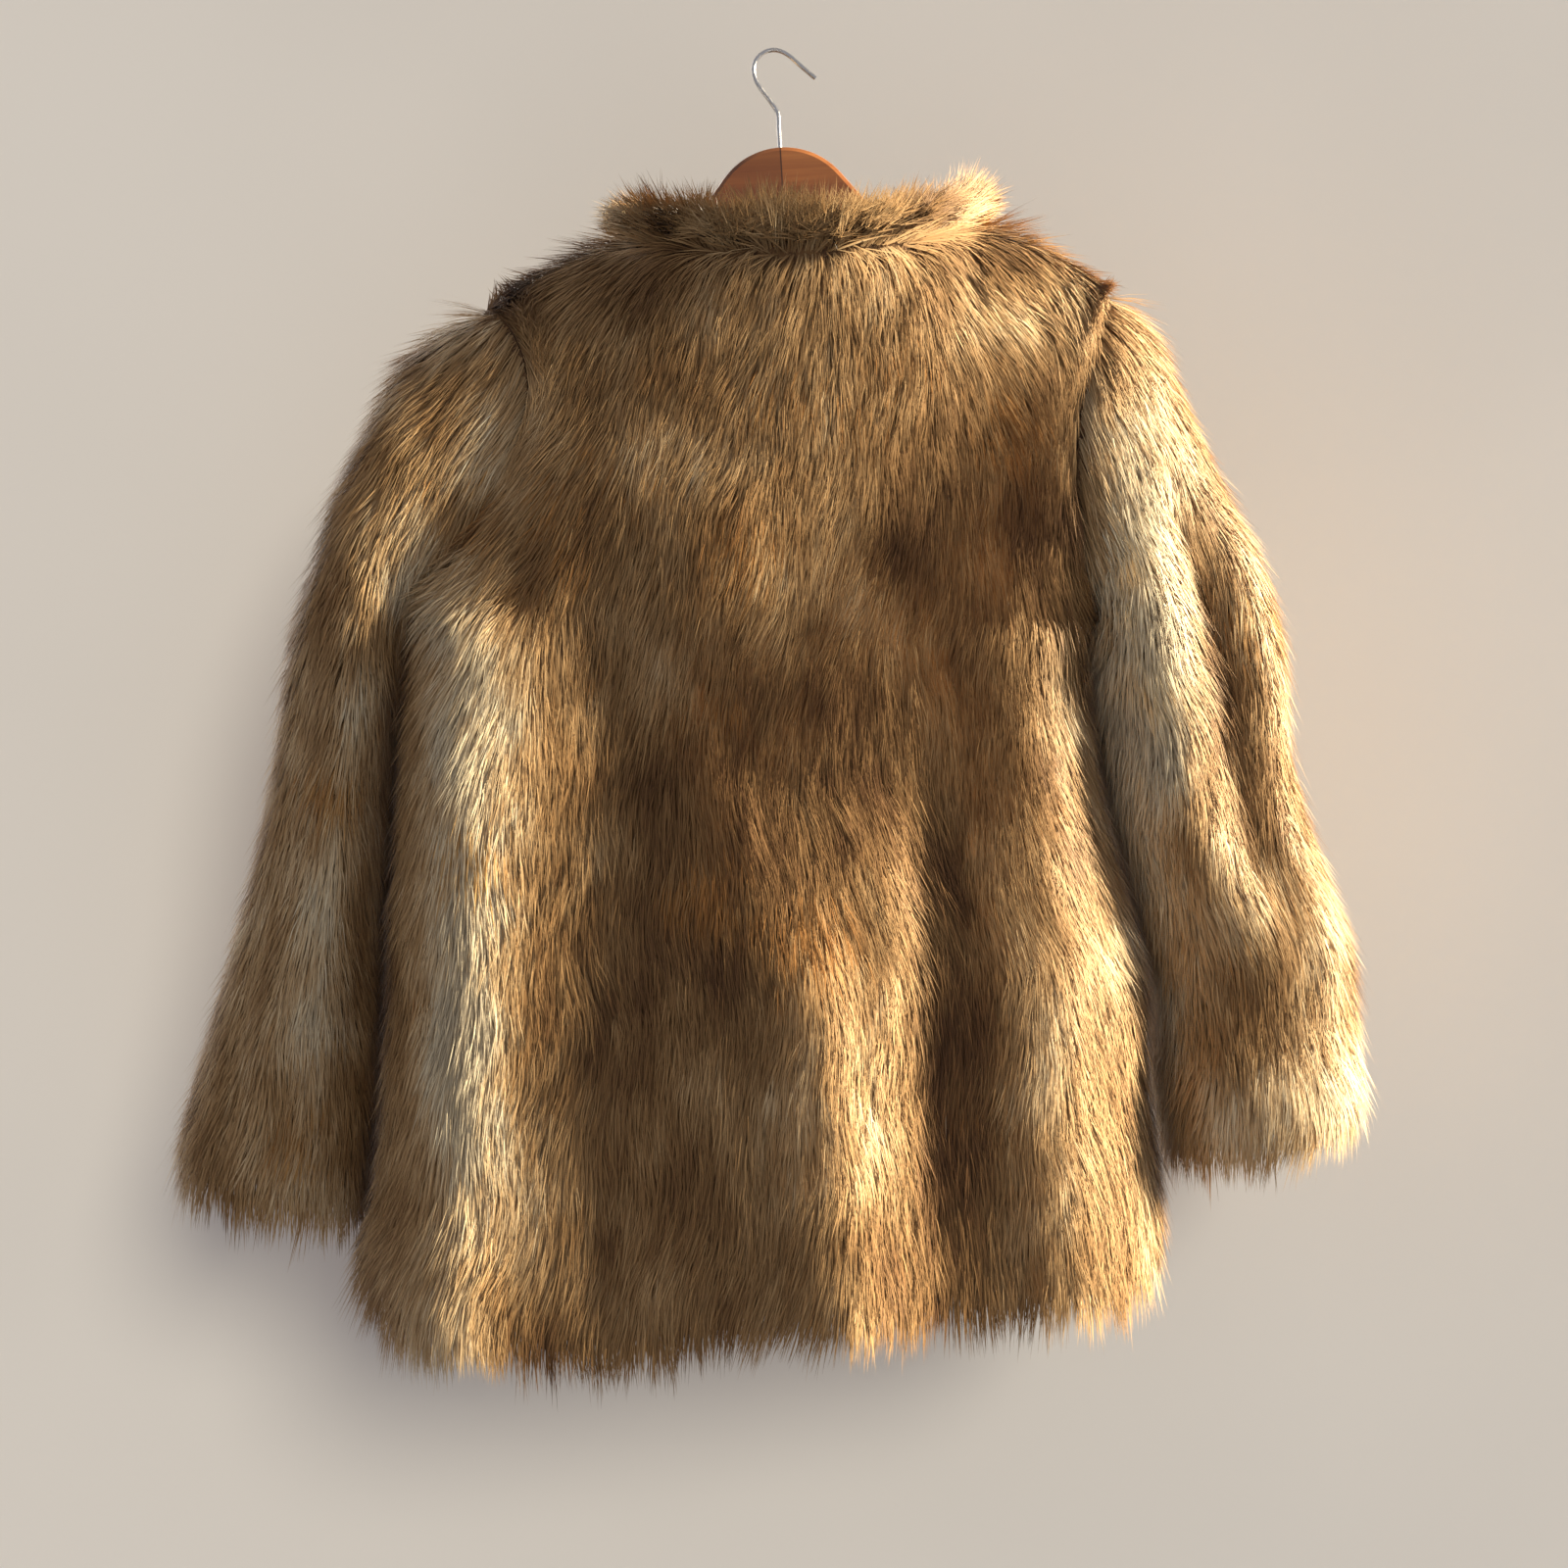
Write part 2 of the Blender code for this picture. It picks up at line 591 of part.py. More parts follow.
def board_outline():
    """The hanger board's outline in x and z, going round once."""
    top = []
    for angle in np.linspace(math.pi / 2, DOME_END, DOME_POINTS)[1:]:
        centre = DOME_TOP - DOME_RADIUS
        top.append((DOME_RADIUS * math.cos(angle), centre + DOME_RADIUS * math.sin(angle)))
    ends = column_of(ARM, "x")
    reach = np.linspace(ends[0], ends[-1], ARM_STEPS)
    top += zip(reach, read_table(ARM, "x", "top", reach))
    bottom = list(zip(reach, read_table(ARM, "x", "bottom", reach)))[::-1]
    middle_z = (top[-1][1] + bottom[0][1]) / 2
    half = (top[-1][1] - bottom[0][1]) / 2
    tip = []
    for angle in np.linspace(math.pi / 2, -math.pi / 2, TIP_STEPS)[1:-1]:
        x = ends[-1] + (ARM_END - ends[-1]) * math.cos(angle)
        tip.append((x, middle_z + half * math.sin(angle)))
    side = top + tip + bottom
    mirrored = [(-x, z) for x, z in reversed(side)]
    return [(0, DOME_TOP)] + side + [(0, BOARD_FOOT)] + mirrored


def hanger_board(parent):
    """The flat wooden board, with its edges rounded and a blind hole for the hook's stem."""
    outline = board_outline()
    half = BOARD_THICKNESS / 2
    work = bmesh.new()
    front = [work.verts.new((x, -half, z)) for x, z in outline]
    face = work.faces.new(front)
    extruded = bmesh.ops.extrude_face_region(work, geom=[face])
    moved = [item for item in extruded["geom"] if isinstance(item, bmesh.types.BMVert)]
    bmesh.ops.translate(work, verts=moved, vec=(0, BOARD_THICKNESS, 0))
    bmesh.ops.recalc_face_normals(work, faces=work.faces)
    mesh = bpy.data.meshes.new("hanger_body")
    work.to_mesh(mesh)
    work.free()
    board = place_object("hanger_body", mesh, WOOD)
    board.parent = parent
    edge = board.modifiers.new("Rounded edges", "BEVEL")
    edge.width = BOARD_EDGE
    edge.segments = 2
    edge.limit_method = "ANGLE"
    edge.angle_limit = math.radians(60)

    drill = bpy.data.meshes.new("stem_hole")
    work = bmesh.new()
    bmesh.ops.create_cone(
        work,
        cap_ends=True,
        segments=16,
        radius1=WIRE_RADIUS + STEM_CLEARANCE,
        radius2=WIRE_RADIUS + STEM_CLEARANCE,
        depth=2 * (STEM_DEPTH + STEM_CLEARANCE),
    )
    bmesh.ops.translate(work, verts=work.verts, vec=(0, 0, DOME_TOP))
    work.to_mesh(drill)
    work.free()
    cutter = bpy.data.objects.new("stem_hole", drill)
    bpy.context.scene.collection.objects.link(cutter)
    cutter.hide_render = True
    cutter.display_type = "WIRE"
    cutter.parent = parent
    hole = board.modifiers.new("Stem hole", "BOOLEAN")
    hole.operation = "DIFFERENCE"
    hole.object = cutter


def hook_route():
    """Points along the middle of the hook's wire, in its own upright plane, as (x, z)."""
    crown = WIRE_RADIUS
    centre = (0.0, crown - HOOK_RADIUS)
    points = [(0.0, DOME_TOP - STEM_DEPTH), (0.0, DOME_TOP), (0.0, HOOK_SHOULDER - HOOK_STRAIGHT)]
    points += [(0.0, HOOK_SHOULDER), HOOK_NECK]
    for degrees in range(205, 40, -15):
        angle = math.radians(degrees)
        x = centre[0] + HOOK_RADIUS * math.cos(angle)
        points.append((x, centre[1] + HOOK_RADIUS * math.sin(angle)))
    points.append(((points[-1][0] + HOOK_TIP[0]) / 2, (points[-1][1] + HOOK_TIP[1]) / 2))
    points.append(HOOK_TIP)
    along = np.concatenate([[0], np.cumsum(np.linalg.norm(np.diff(points, axis=0), axis=1))])
    steps = np.linspace(0, along[-1], HOOK_STEPS)
    x, z = np.array(points).T
    return smooth_read(along, x, steps), smooth_read(along, z, steps)


def hanger_hook(parent):
    """The hook, one wire from its stem in the wood to its tip."""
    curve = bpy.data.curves.new("hanger_hook", "CURVE")
    curve.dimensions = "3D"
    curve.bevel_depth = WIRE_RADIUS
    curve.bevel_resolution = 3
    curve.use_fill_caps = True
    x, z = hook_route()
    spline = curve.splines.new("POLY")
    spline.points.add(len(x) - 1)
    for point, across, height in zip(spline.points, x, z):
        turned = (across * math.cos(HOOK_TURN), across * math.sin(HOOK_TURN))
        point.co = (turned[0], turned[1], height, 1)
    hook = place_object("hanger_hook", curve, CHROME)
    hook.parent = parent


def main():
    clear_scene()
    pieces, at_seams = cloth_pieces()
    for piece, normals in zip(pieces, shared_normals(pieces, at_seams)):
        wall_object(piece, normals)
    hanging_point = bpy.data.objects.new("hanging_point", None)
    bpy.context.scene.collection.objects.link(hanging_point)
    hanging_point.rotation_euler = (0, -HANGER_TILT, 0)
    hanger_board(hanging_point)
    hanger_hook(hanging_point)


main()
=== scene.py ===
"""The looks of a faux fur jacket that hangs on a wooden hanger.

Metres, +Z up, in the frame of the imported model: the origin is the inside top of the hook, the
jacket's back faces -Y and +X is the wearer's right. Each piece of cloth is a thin knitted backing
that follows its solid's form, with a pile of separate strands combed over it. The pile lies about
as high as the solid's outer side. The hanger keeps its solids and gets its varnish and its chrome.
"""

import logging
import math
from dataclasses import asdict, dataclass, field
from enum import Enum
from typing import Any, NamedTuple

import bpy
import numpy as np
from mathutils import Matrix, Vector


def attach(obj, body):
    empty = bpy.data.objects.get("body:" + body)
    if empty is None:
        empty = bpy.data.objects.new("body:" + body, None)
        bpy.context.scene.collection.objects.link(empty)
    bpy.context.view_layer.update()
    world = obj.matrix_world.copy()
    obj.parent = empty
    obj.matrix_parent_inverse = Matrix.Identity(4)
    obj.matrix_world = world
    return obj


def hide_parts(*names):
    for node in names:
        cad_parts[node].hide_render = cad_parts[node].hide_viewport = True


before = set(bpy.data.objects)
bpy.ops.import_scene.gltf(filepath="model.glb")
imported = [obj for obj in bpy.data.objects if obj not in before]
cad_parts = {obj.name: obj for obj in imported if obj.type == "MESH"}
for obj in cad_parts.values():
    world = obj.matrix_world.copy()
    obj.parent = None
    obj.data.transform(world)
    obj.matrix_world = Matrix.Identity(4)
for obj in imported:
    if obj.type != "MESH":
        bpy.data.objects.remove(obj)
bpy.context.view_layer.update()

log = logging.getLogger("jacket")

Point2 = tuple[float, float]
Span = tuple[float, float]
Vector3 = tuple[float, float, float]
Colour = tuple[float, float, float]

# ---------------------------------------------------------------------------------------------
# The cut of the jacket, in the same sizes as its solids
# ---------------------------------------------------------------------------------------------

FINENESS = 2  # how many times finer the cloth is divided than its solids
SHOULDER_COLUMNS = 11 * FINENESS
NECK_COLUMNS = 16 * FINENESS
PANEL_COLUMNS = 2 * SHOULDER_COLUMNS + NECK_COLUMNS
LOWER_ROWS = 14 * FINENESS
UPPER_ROWS = 12 * FINENESS
SLEEVE_ROWS = 19 * FINENESS
COLLAR_ROWS = 6


class Side(Enum):
    """The back or the fronts of the body. The value is the side's sign along Y."""

    BACK = -1
    FRONT = 1


class Comb(Enum):
    """Which way the pile is combed along a piece's rows."""

    UP_THE_ROWS = 1
    DOWN_THE_ROWS = -1


class BodyLevel(NamedTuple):
    """The side seams at a height, and how far the back and the fronts stand out there."""

    z: float
    left: float
    right: float
    back: float
    front: float


class HemPoint(NamedTuple):
    """The height of the hem at a share of the way from the left side seam to the right one."""

    across: float
    back: float
    front: float


class Fold(NamedTuple):
    """A long soft ridge of a panel, or a trough when its height is negative."""

    height: float
    x_hem: float
    x_top: float
    z_top: float
    fade: float
    left_width: float
    right_width: float


class Crease(NamedTuple):
    """A short soft ridge or trough: its middle, half length, half width, height and slant."""

    x: float
    z: float
    half_length: float
    half_width: float
    height: float
    slant: float


class SleeveSection(NamedTuple):
    """A section of a sleeve: its outermost and innermost points, half depth, the middle's y, and
    how far the middle is pulled towards the body."""

    out_x: float
    out_z: float
    in_x: float
    in_z: float
    depth: float
    y: float
    bow: float


class SleeveFold(NamedTuple):
    """A fold of a sleeve: its height, its angle and half angle round the section, in degrees, and
    the stretch of sections that it runs over."""

    height: float
    angle: float
    half_angle: float
    first: float
    last: float


class Spot(NamedTuple):
    """A patch of cloth where the pile differs, as seen from behind."""

    x: float
    z: float
    half_width: float
    half_height: float
    strength: float

    def share(self, points: np.ndarray, sharpness: float) -> np.ndarray:
        """How much of the patch's strength each point has.

        Args:
            points: The points, with their coordinates last.
            sharpness: How suddenly the patch ends. It fades at 1 and has an edge at 2.

        Returns:
            A number for each point, from 0 to all of the strength.
        """
        off = ((points[..., 0] - self.x) / self.half_width) ** 2
        off = off + ((points[..., 2] - self.z) / self.half_height) ** 2
        return self.strength * np.exp(-(off**sharpness))


Spots = tuple[Spot, ...]


class Patches(NamedTuple):
    """Where a piece's pile is rustier, has painted light, is deeper, or leans to the right as seen
    from behind.

    Strengths below 0 give painted shade instead, a flatter pile, or a lean to the left.
    """

    rust: Spots = ()
    # painted light where a strength is above 0, painted shade where it is below 0
    shade: Spots = ()
    loft: Spots = ()
    lean: Spots = ()


class CollarRow(NamedTuple):
    """How far the collar leans outwards at a height above the neck seam."""

    height: float
    lean: float


BODY = (
    BodyLevel(-0.790, -0.246, 0.228, 0.080, 0.074),
    BodyLevel(-0.735, -0.254, 0.235, 0.082, 0.076),
    BodyLevel(-0.690, -0.244, 0.236, 0.081, 0.075),
    BodyLevel(-0.628, -0.239, 0.229, 0.079, 0.073),
    BodyLevel(-0.550, -0.235, 0.225, 0.077, 0.071),
    BodyLevel(-0.508, -0.233, 0.214, 0.076, 0.070),
    BodyLevel(-0.448, -0.228, 0.199, 0.074, 0.068),
    BodyLevel(-0.388, -0.221, 0.191, 0.071, 0.065),
    BodyLevel(-0.322, -0.210, 0.188, 0.068, 0.062),
)
HEM = (
    HemPoint(0.00, -0.740, -0.740),
    HemPoint(0.05, -0.768, -0.757),
    HemPoint(0.12, -0.782, -0.767),
    HemPoint(0.25, -0.781, -0.773),
    HemPoint(0.37, -0.787, -0.771),
    HemPoint(0.46, -0.773, -0.767),
    HemPoint(0.60, -0.767, -0.765),
    HemPoint(0.75, -0.761, -0.761),
    HemPoint(0.90, -0.759, -0.757),
    HemPoint(0.96, -0.754, -0.751),
    HemPoint(1.00, -0.741, -0.741),
)
BACK_FOLDS = (
    Fold(0.030, -0.197, -0.183, -0.295, 0.080, 0.028, 0.045),
    Fold(-0.010, -0.085, -0.080, -0.330, 0.080, 0.030, 0.060),
    Fold(0.014, 0.052, 0.018, -0.480, 0.090, 0.050, 0.018),
    Fold(-0.011, 0.105, 0.085, -0.400, 0.080, 0.022, 0.034),
    Fold(0.014, 0.188, 0.150, -0.320, 0.110, 0.034, 0.026),
    Fold(0.006, -0.075, -0.020, -0.240, 0.050, 0.040, 0.050),
)
FRONT_FOLDS = (
    Fold(0.013, -0.160, -0.130, -0.340, 0.100, 0.040, 0.030),
    Fold(-0.010, -0.095, -0.080, -0.380, 0.100, 0.030, 0.030),
    Fold(-0.009, 0.080, 0.085, -0.360, 0.110, 0.032, 0.026),
    Fold(0.014, 0.150, 0.130, -0.330, 0.090, 0.034, 0.044),
)
BACK_CREASES = (
    Crease(-0.150, -0.262, 0.050, 0.010, -0.005, 0.25),
    Crease(-0.128, -0.330, 0.040, 0.012, 0.004, -0.30),
    Crease(-0.092, -0.700, 0.070, 0.012, -0.004, 0.05),
    Crease(-0.075, -0.775, 0.024, 0.012, 0.005, 0.20),
    Crease(-0.028, -0.455, 0.045, 0.016, 0.004, 0.35),
    Crease(-0.010, -0.610, 0.060, 0.011, -0.004, 0.10),
    Crease(0.030, -0.385, 0.030, 0.022, 0.004, -0.60),
    Crease(0.064, -0.540, 0.050, 0.011, 0.004, -0.12),
    Crease(0.088, -0.640, 0.060, 0.010, -0.004, -0.08),
    Crease(0.120, -0.500, 0.070, 0.012, 0.003, 0.15),
    Crease(0.135, -0.705, 0.060, 0.014, -0.003, 0.10),
    Crease(-0.200, -0.560, 0.080, 0.012, -0.004, -0.06),
    Crease(-0.185, -0.430, 0.045, 0.010, 0.003, 0.08),
)
FRONT_CREASES = (
    Crease(-0.130, -0.300, 0.045, 0.012, -0.004, -0.30),
    Crease(-0.060, -0.520, 0.060, 0.014, 0.004, 0.10),
    Crease(-0.110, -0.660, 0.070, 0.012, 0.004, -0.08),
    Crease(-0.180, -0.600, 0.060, 0.012, -0.004, 0.06),
    Crease(0.055, -0.450, 0.050, 0.014, 0.004, -0.12),
    Crease(0.100, -0.620, 0.070, 0.012, -0.004, 0.08),
    Crease(0.145, -0.300, 0.045, 0.012, -0.004, 0.30),
    Crease(0.180, -0.560, 0.060, 0.012, -0.003, -0.05),
    Crease(0.060, -0.720, 0.035, 0.012, 0.004, 0.15),
)
LEFT_SLEEVE = (
    SleeveSection(-0.174, -0.152, -0.210, -0.322, 0.046, 0.000, 0.045),
    SleeveSection(-0.202, -0.170, -0.217, -0.334, 0.047, 0.001, 0.026),
    SleeveSection(-0.227, -0.194, -0.219, -0.346, 0.050, 0.003, 0.010),
    SleeveSection(-0.254, -0.249, -0.222, -0.364, 0.053, 0.005, 0.000),
    SleeveSection(-0.272, -0.303, -0.225, -0.388, 0.055, 0.007, 0.000),
    SleeveSection(-0.291, -0.362, -0.229, -0.420, 0.056, 0.009, 0.000),
    SleeveSection(-0.305, -0.440, -0.234, -0.476, 0.056, 0.011, 0.000),
    SleeveSection(-0.320, -0.508, -0.239, -0.536, 0.056, 0.013, 0.000),
    SleeveSection(-0.337, -0.569, -0.242, -0.597, 0.057, 0.015, 0.000),
    SleeveSection(-0.355, -0.632, -0.246, -0.657, 0.058, 0.016, 0.000),
    SleeveSection(-0.363, -0.666, -0.250, -0.691, 0.058, 0.017, 0.000),
    SleeveSection(-0.361, -0.699, -0.253, -0.721, 0.055, 0.017, 0.000),
)
RIGHT_SLEEVE = (
    SleeveSection(0.204, -0.143, 0.188, -0.332, 0.046, 0.000, -0.016),
    SleeveSection(0.226, -0.165, 0.194, -0.342, 0.047, 0.001, -0.010),
    SleeveSection(0.240, -0.194, 0.195, -0.352, 0.050, 0.003, -0.004),
    SleeveSection(0.263, -0.247, 0.194, -0.368, 0.053, 0.005, 0.000),
    SleeveSection(0.289, -0.300, 0.195, -0.390, 0.055, 0.007, 0.000),
    SleeveSection(0.306, -0.356, 0.199, -0.424, 0.056, 0.009, 0.000),
    SleeveSection(0.315, -0.430, 0.208, -0.474, 0.056, 0.011, 0.000),
    SleeveSection(0.334, -0.492, 0.222, -0.528, 0.056, 0.013, 0.000),
    SleeveSection(0.354, -0.548, 0.232, -0.572, 0.057, 0.015, 0.000),
    SleeveSection(0.359, -0.604, 0.236, -0.622, 0.058, 0.016, 0.000),
    SleeveSection(0.358, -0.636, 0.240, -0.656, 0.058, 0.017, 0.000),
    SleeveSection(0.353, -0.664, 0.243, -0.682, 0.055, 0.017, 0.000),
)
LEFT_SLEEVE_FOLDS = (
    SleeveFold(0.008, 62, 26, 2.5, 8.5),
    SleeveFold(-0.007, 112, 24, 4.0, 9.0),
    SleeveFold(0.006, 250, 34, 3.0, 9.0),
    SleeveFold(-0.006, 300, 26, 2.5, 7.0),
    SleeveFold(0.004, 96, 12, 6.2, 9.6),
    SleeveFold(-0.004, 40, 14, 5.0, 9.8),
    SleeveFold(0.004, 140, 14, 2.0, 5.4),
    SleeveFold(-0.004, 210, 14, 4.6, 8.4),
    SleeveFold(0.004, 330, 16, 5.2, 9.6),
)
RIGHT_SLEEVE_FOLDS = (
    SleeveFold(0.008, 66, 24, 1.5, 7.0),
    SleeveFold(-0.016, 106, 18, 2.2, 7.4),
    SleeveFold(0.007, 138, 22, 3.2, 6.2),
    SleeveFold(-0.006, 80, 60, 7.6, 8.8),
    SleeveFold(0.006, 100, 60, 8.8, 10.4),
    SleeveFold(0.006, 240, 34, 3.0, 9.0),
    SleeveFold(-0.006, 290, 26, 2.5, 7.0),
    SleeveFold(0.005, 128, 13, 6.2, 8.8),
    SleeveFold(-0.005, 150, 13, 7.6, 9.8),
    SleeveFold(0.004, 52, 13, 6.6, 9.8),
    SleeveFold(-0.004, 210, 14, 4.6, 8.4),
    SleeveFold(0.004, 330, 16, 5.2, 9.6),
)
COLLAR = (
    CollarRow(0.000, 0.000),
    CollarRow(0.006, 0.001),
    CollarRow(0.013, 0.004),
    CollarRow(0.020, 0.006),
    CollarRow(0.025, 0.006),
    CollarRow(0.029, 0.004),
)
BACK_PATCHES = Patches(
    rust=(
        Spot(-0.016, -0.302, 0.024, 0.024, 0.60),
        Spot(0.017, -0.521, 0.028, 0.028, 0.65),
        Spot(-0.173, -0.476, 0.026, 0.026, 0.55),
        Spot(-0.080, -0.250, 0.030, 0.030, 0.30),
        Spot(0.050, -0.215, 0.030, 0.030, 0.30),
        Spot(-0.120, -0.300, 0.022, 0.022, 0.35),
    ),
    # painted light on the lit ridges and the right shoulder, painted shade in the valleys and in
    # the right sleeve's shadow
    shade=(
        Spot(-0.058, -0.540, 0.062, 0.220, -0.12),
        Spot(0.122, -0.290, 0.064, 0.080, -0.22),
        Spot(0.030, -0.425, 0.090, 0.100, -0.14),
        Spot(0.128, -0.415, 0.036, 0.060, -0.10),
        Spot(0.108, -0.620, 0.028, 0.130, -0.24),
        Spot(-0.150, -0.262, 0.022, 0.050, -0.06),
        Spot(-0.172, -0.520, 0.034, 0.210, 0.30),
        Spot(0.047, -0.650, 0.022, 0.105, -0.06),
        Spot(0.176, -0.560, 0.020, 0.190, -0.02),
        Spot(0.165, -0.155, 0.060, 0.026, 0.16),
        Spot(-0.150, -0.205, 0.040, 0.030, 0.10),
    ),
    loft=(
        Spot(0.112, -0.300, 0.052, 0.090, -0.45),
        Spot(0.020, -0.400, 0.080, 0.070, -0.25),
    ),
    lean=(
        Spot(-0.192, -0.540, 0.034, 0.240, 0.60),
        Spot(0.142, -0.262, 0.048, 0.062, -0.42),
        Spot(0.090, -0.330, 0.070, 0.052, -0.32),
        Spot(-0.010, -0.385, 0.090, 0.050, -0.24),
        Spot(0.128, -0.415, 0.040, 0.066, -0.34),
        Spot(0.165, -0.140, 0.060, 0.030, 0.30),
    ),
)
LEFT_FRONT_PATCHES = Patches(rust=(Spot(-0.140, -0.420, 0.030, 0.030, 0.5),))
RIGHT_FRONT_PATCHES = Patches(rust=(Spot(0.110, -0.560, 0.030, 0.030, 0.5),))
LEFT_SLEEVE_PATCHES = Patches(
    # painted light along the sleeve's lit streaks
    shade=(
        Spot(-0.272, -0.557, 0.020, 0.090, 0.22),
        Spot(-0.212, -0.335, 0.015, 0.035, 0.16),
        Spot(-0.238, -0.395, 0.014, 0.035, 0.16),
    ),
    lean=(
        Spot(-0.205, -0.260, 0.040, 0.060, 0.30),
        Spot(-0.272, -0.557, 0.020, 0.090, 0.20),
    ),
)
RIGHT_SLEEVE_PATCHES = Patches(
    rust=(
        Spot(0.283, -0.336, 0.030, 0.030, 0.55),
        Spot(0.300, -0.500, 0.026, 0.026, 0.30),
    ),
    # painted light on the lit band beside the armhole, painted shade in its dark folds and hollows
    shade=(
        Spot(0.214, -0.350, 0.026, 0.150, 0.28),
        Spot(0.248, -0.400, 0.010, 0.130, -0.22),
        Spot(0.325, -0.560, 0.022, 0.090, 0.04),
        Spot(0.277, -0.565, 0.028, 0.048, -0.20),
        Spot(0.285, -0.460, 0.022, 0.030, -0.10),
    ),
    loft=(Spot(0.194, -0.290, 0.034, 0.110, 0.45),),
    lean=(
        Spot(0.216, -0.350, 0.022, 0.130, 0.40),
        Spot(0.285, -0.360, 0.024, 0.070, 0.35),
    ),
)
ARMPITS = (
    Spot(-0.215, -0.330, 0.060, 0.060, 1.0),
    Spot(0.192, -0.345, 0.060, 0.060, 1.0),
)


def smooth_read(knots: Any, values: Any, at: Any) -> np.ndarray:
    """Reads a smooth curve through some points.

    Args:
        knots: Where the points lie, in any order.
        values: The curve's values there.
        at: The places to read it at.

    Returns:
        The values at those places.
    """
    knots = np.asarray(knots, float)
    values = np.asarray(values, float)
    order = np.argsort(knots)
    knots = knots[order]
    values = values[order]
    at = np.clip(at, knots[0], knots[-1])
    slopes = np.gradient(values, knots)
    low = np.clip(np.searchsorted(knots, at, side="right") - 1, 0, len(knots) - 2)
    span = knots[low + 1] - knots[low]
    part = (at - knots[low]) / span
    ease = part * part * (3 - 2 * part)
    lead = part * (1 - part) ** 2 * span
    lag = part * part * (1 - part) * span
    ends = values[low] * (1 - ease) + values[low + 1] * ease
    return ends + slopes[low] * lead - slopes[low + 1] * lag


def read_table(table: tuple, key: str, name: str, at: Any) -> np.ndarray:
    """Reads one column of a table as a smooth curve of another one."""
    return smooth_read([getattr(r, key) for r in table], [getattr(r, name) for r in table], at)


def smooth_step(value: np.ndarray) -> np.ndarray:
    """A soft step from 0 to 1 as the value goes from 0 to 1."""
    held = np.clip(value, 0, 1)
    return held * held * (3 - 2 * held)


@dataclass(frozen=True)
class SleeveCut:
    """A set-in sleeve in one piece."""

    sections: tuple[SleeveSection, ...]
    folds: tuple[SleeveFold, ...]
    oval_power: float = 0.85
    bow_power: float = 1.7
    fold_power: float = 0.8  # how evenly a fold runs along its stretch
    cuff_lift: float = 0.80  # how many sections the backing ends above the pile's tips

    def oval(self, section: SleeveSection, angle: np.ndarray) -> np.ndarray:
        """Lays points round a section.

        Args:
            section: The section.
            angle: Their angles. 0 is its inner point and pi its outer one.

        Returns:
            The points.
        """
        part = (1 - np.cos(angle)) / 2
        turn = np.sin(angle)
        pull = section.bow * np.abs(turn) ** self.bow_power
        x = section.in_x + (section.out_x - section.in_x) * part + pull
        z = section.in_z + (section.out_z - section.in_z) * part
        y = section.y - section.depth * np.sign(turn) * np.abs(turn) ** self.oval_power
        return np.stack([x, y, z], axis=-1)

    def section_at(self, place: float) -> SleeveSection:
        """Reads a section between the rows of the table.

        Args:
            place: Where, in rows.

        Returns:
            The section there.
        """
        rows = np.arange(len(self.sections))
        sizes = (smooth_read(rows, column, place) for column in zip(*self.sections))
        return SleeveSection(*map(float, sizes))

    def grid(self) -> np.ndarray:
        """The sleeve's outer surface.

        Returns:
            Rows from the armhole to the cuff, of points round the section.
        """
        angle = np.linspace(0, 2 * math.pi, 2 * UPPER_ROWS + 1)[:-1]
        last = len(self.sections) - 1 - self.cuff_lift
        rows = []
        for place in np.linspace(0, last, SLEEVE_ROWS + 1):
            ring = self.oval(self.section_at(place), angle)
            outwards = ring - ring.mean(axis=0)
            outwards /= np.linalg.norm(outwards, axis=1, keepdims=True)
            moved = np.zeros_like(angle)
            for fold in self.folds:
                apart = (np.degrees(angle) - fold.angle + 180) % 360 - 180
                run = np.clip((place - fold.first) / (fold.last - fold.first), 0, 1)
                strength = math.sin(math.pi * run) ** self.fold_power
                moved += fold.height * strength * np.exp(-((apart / fold.half_angle) ** 2))
            rows.append(ring + outwards * moved[:, None])
        return np.array(rows)


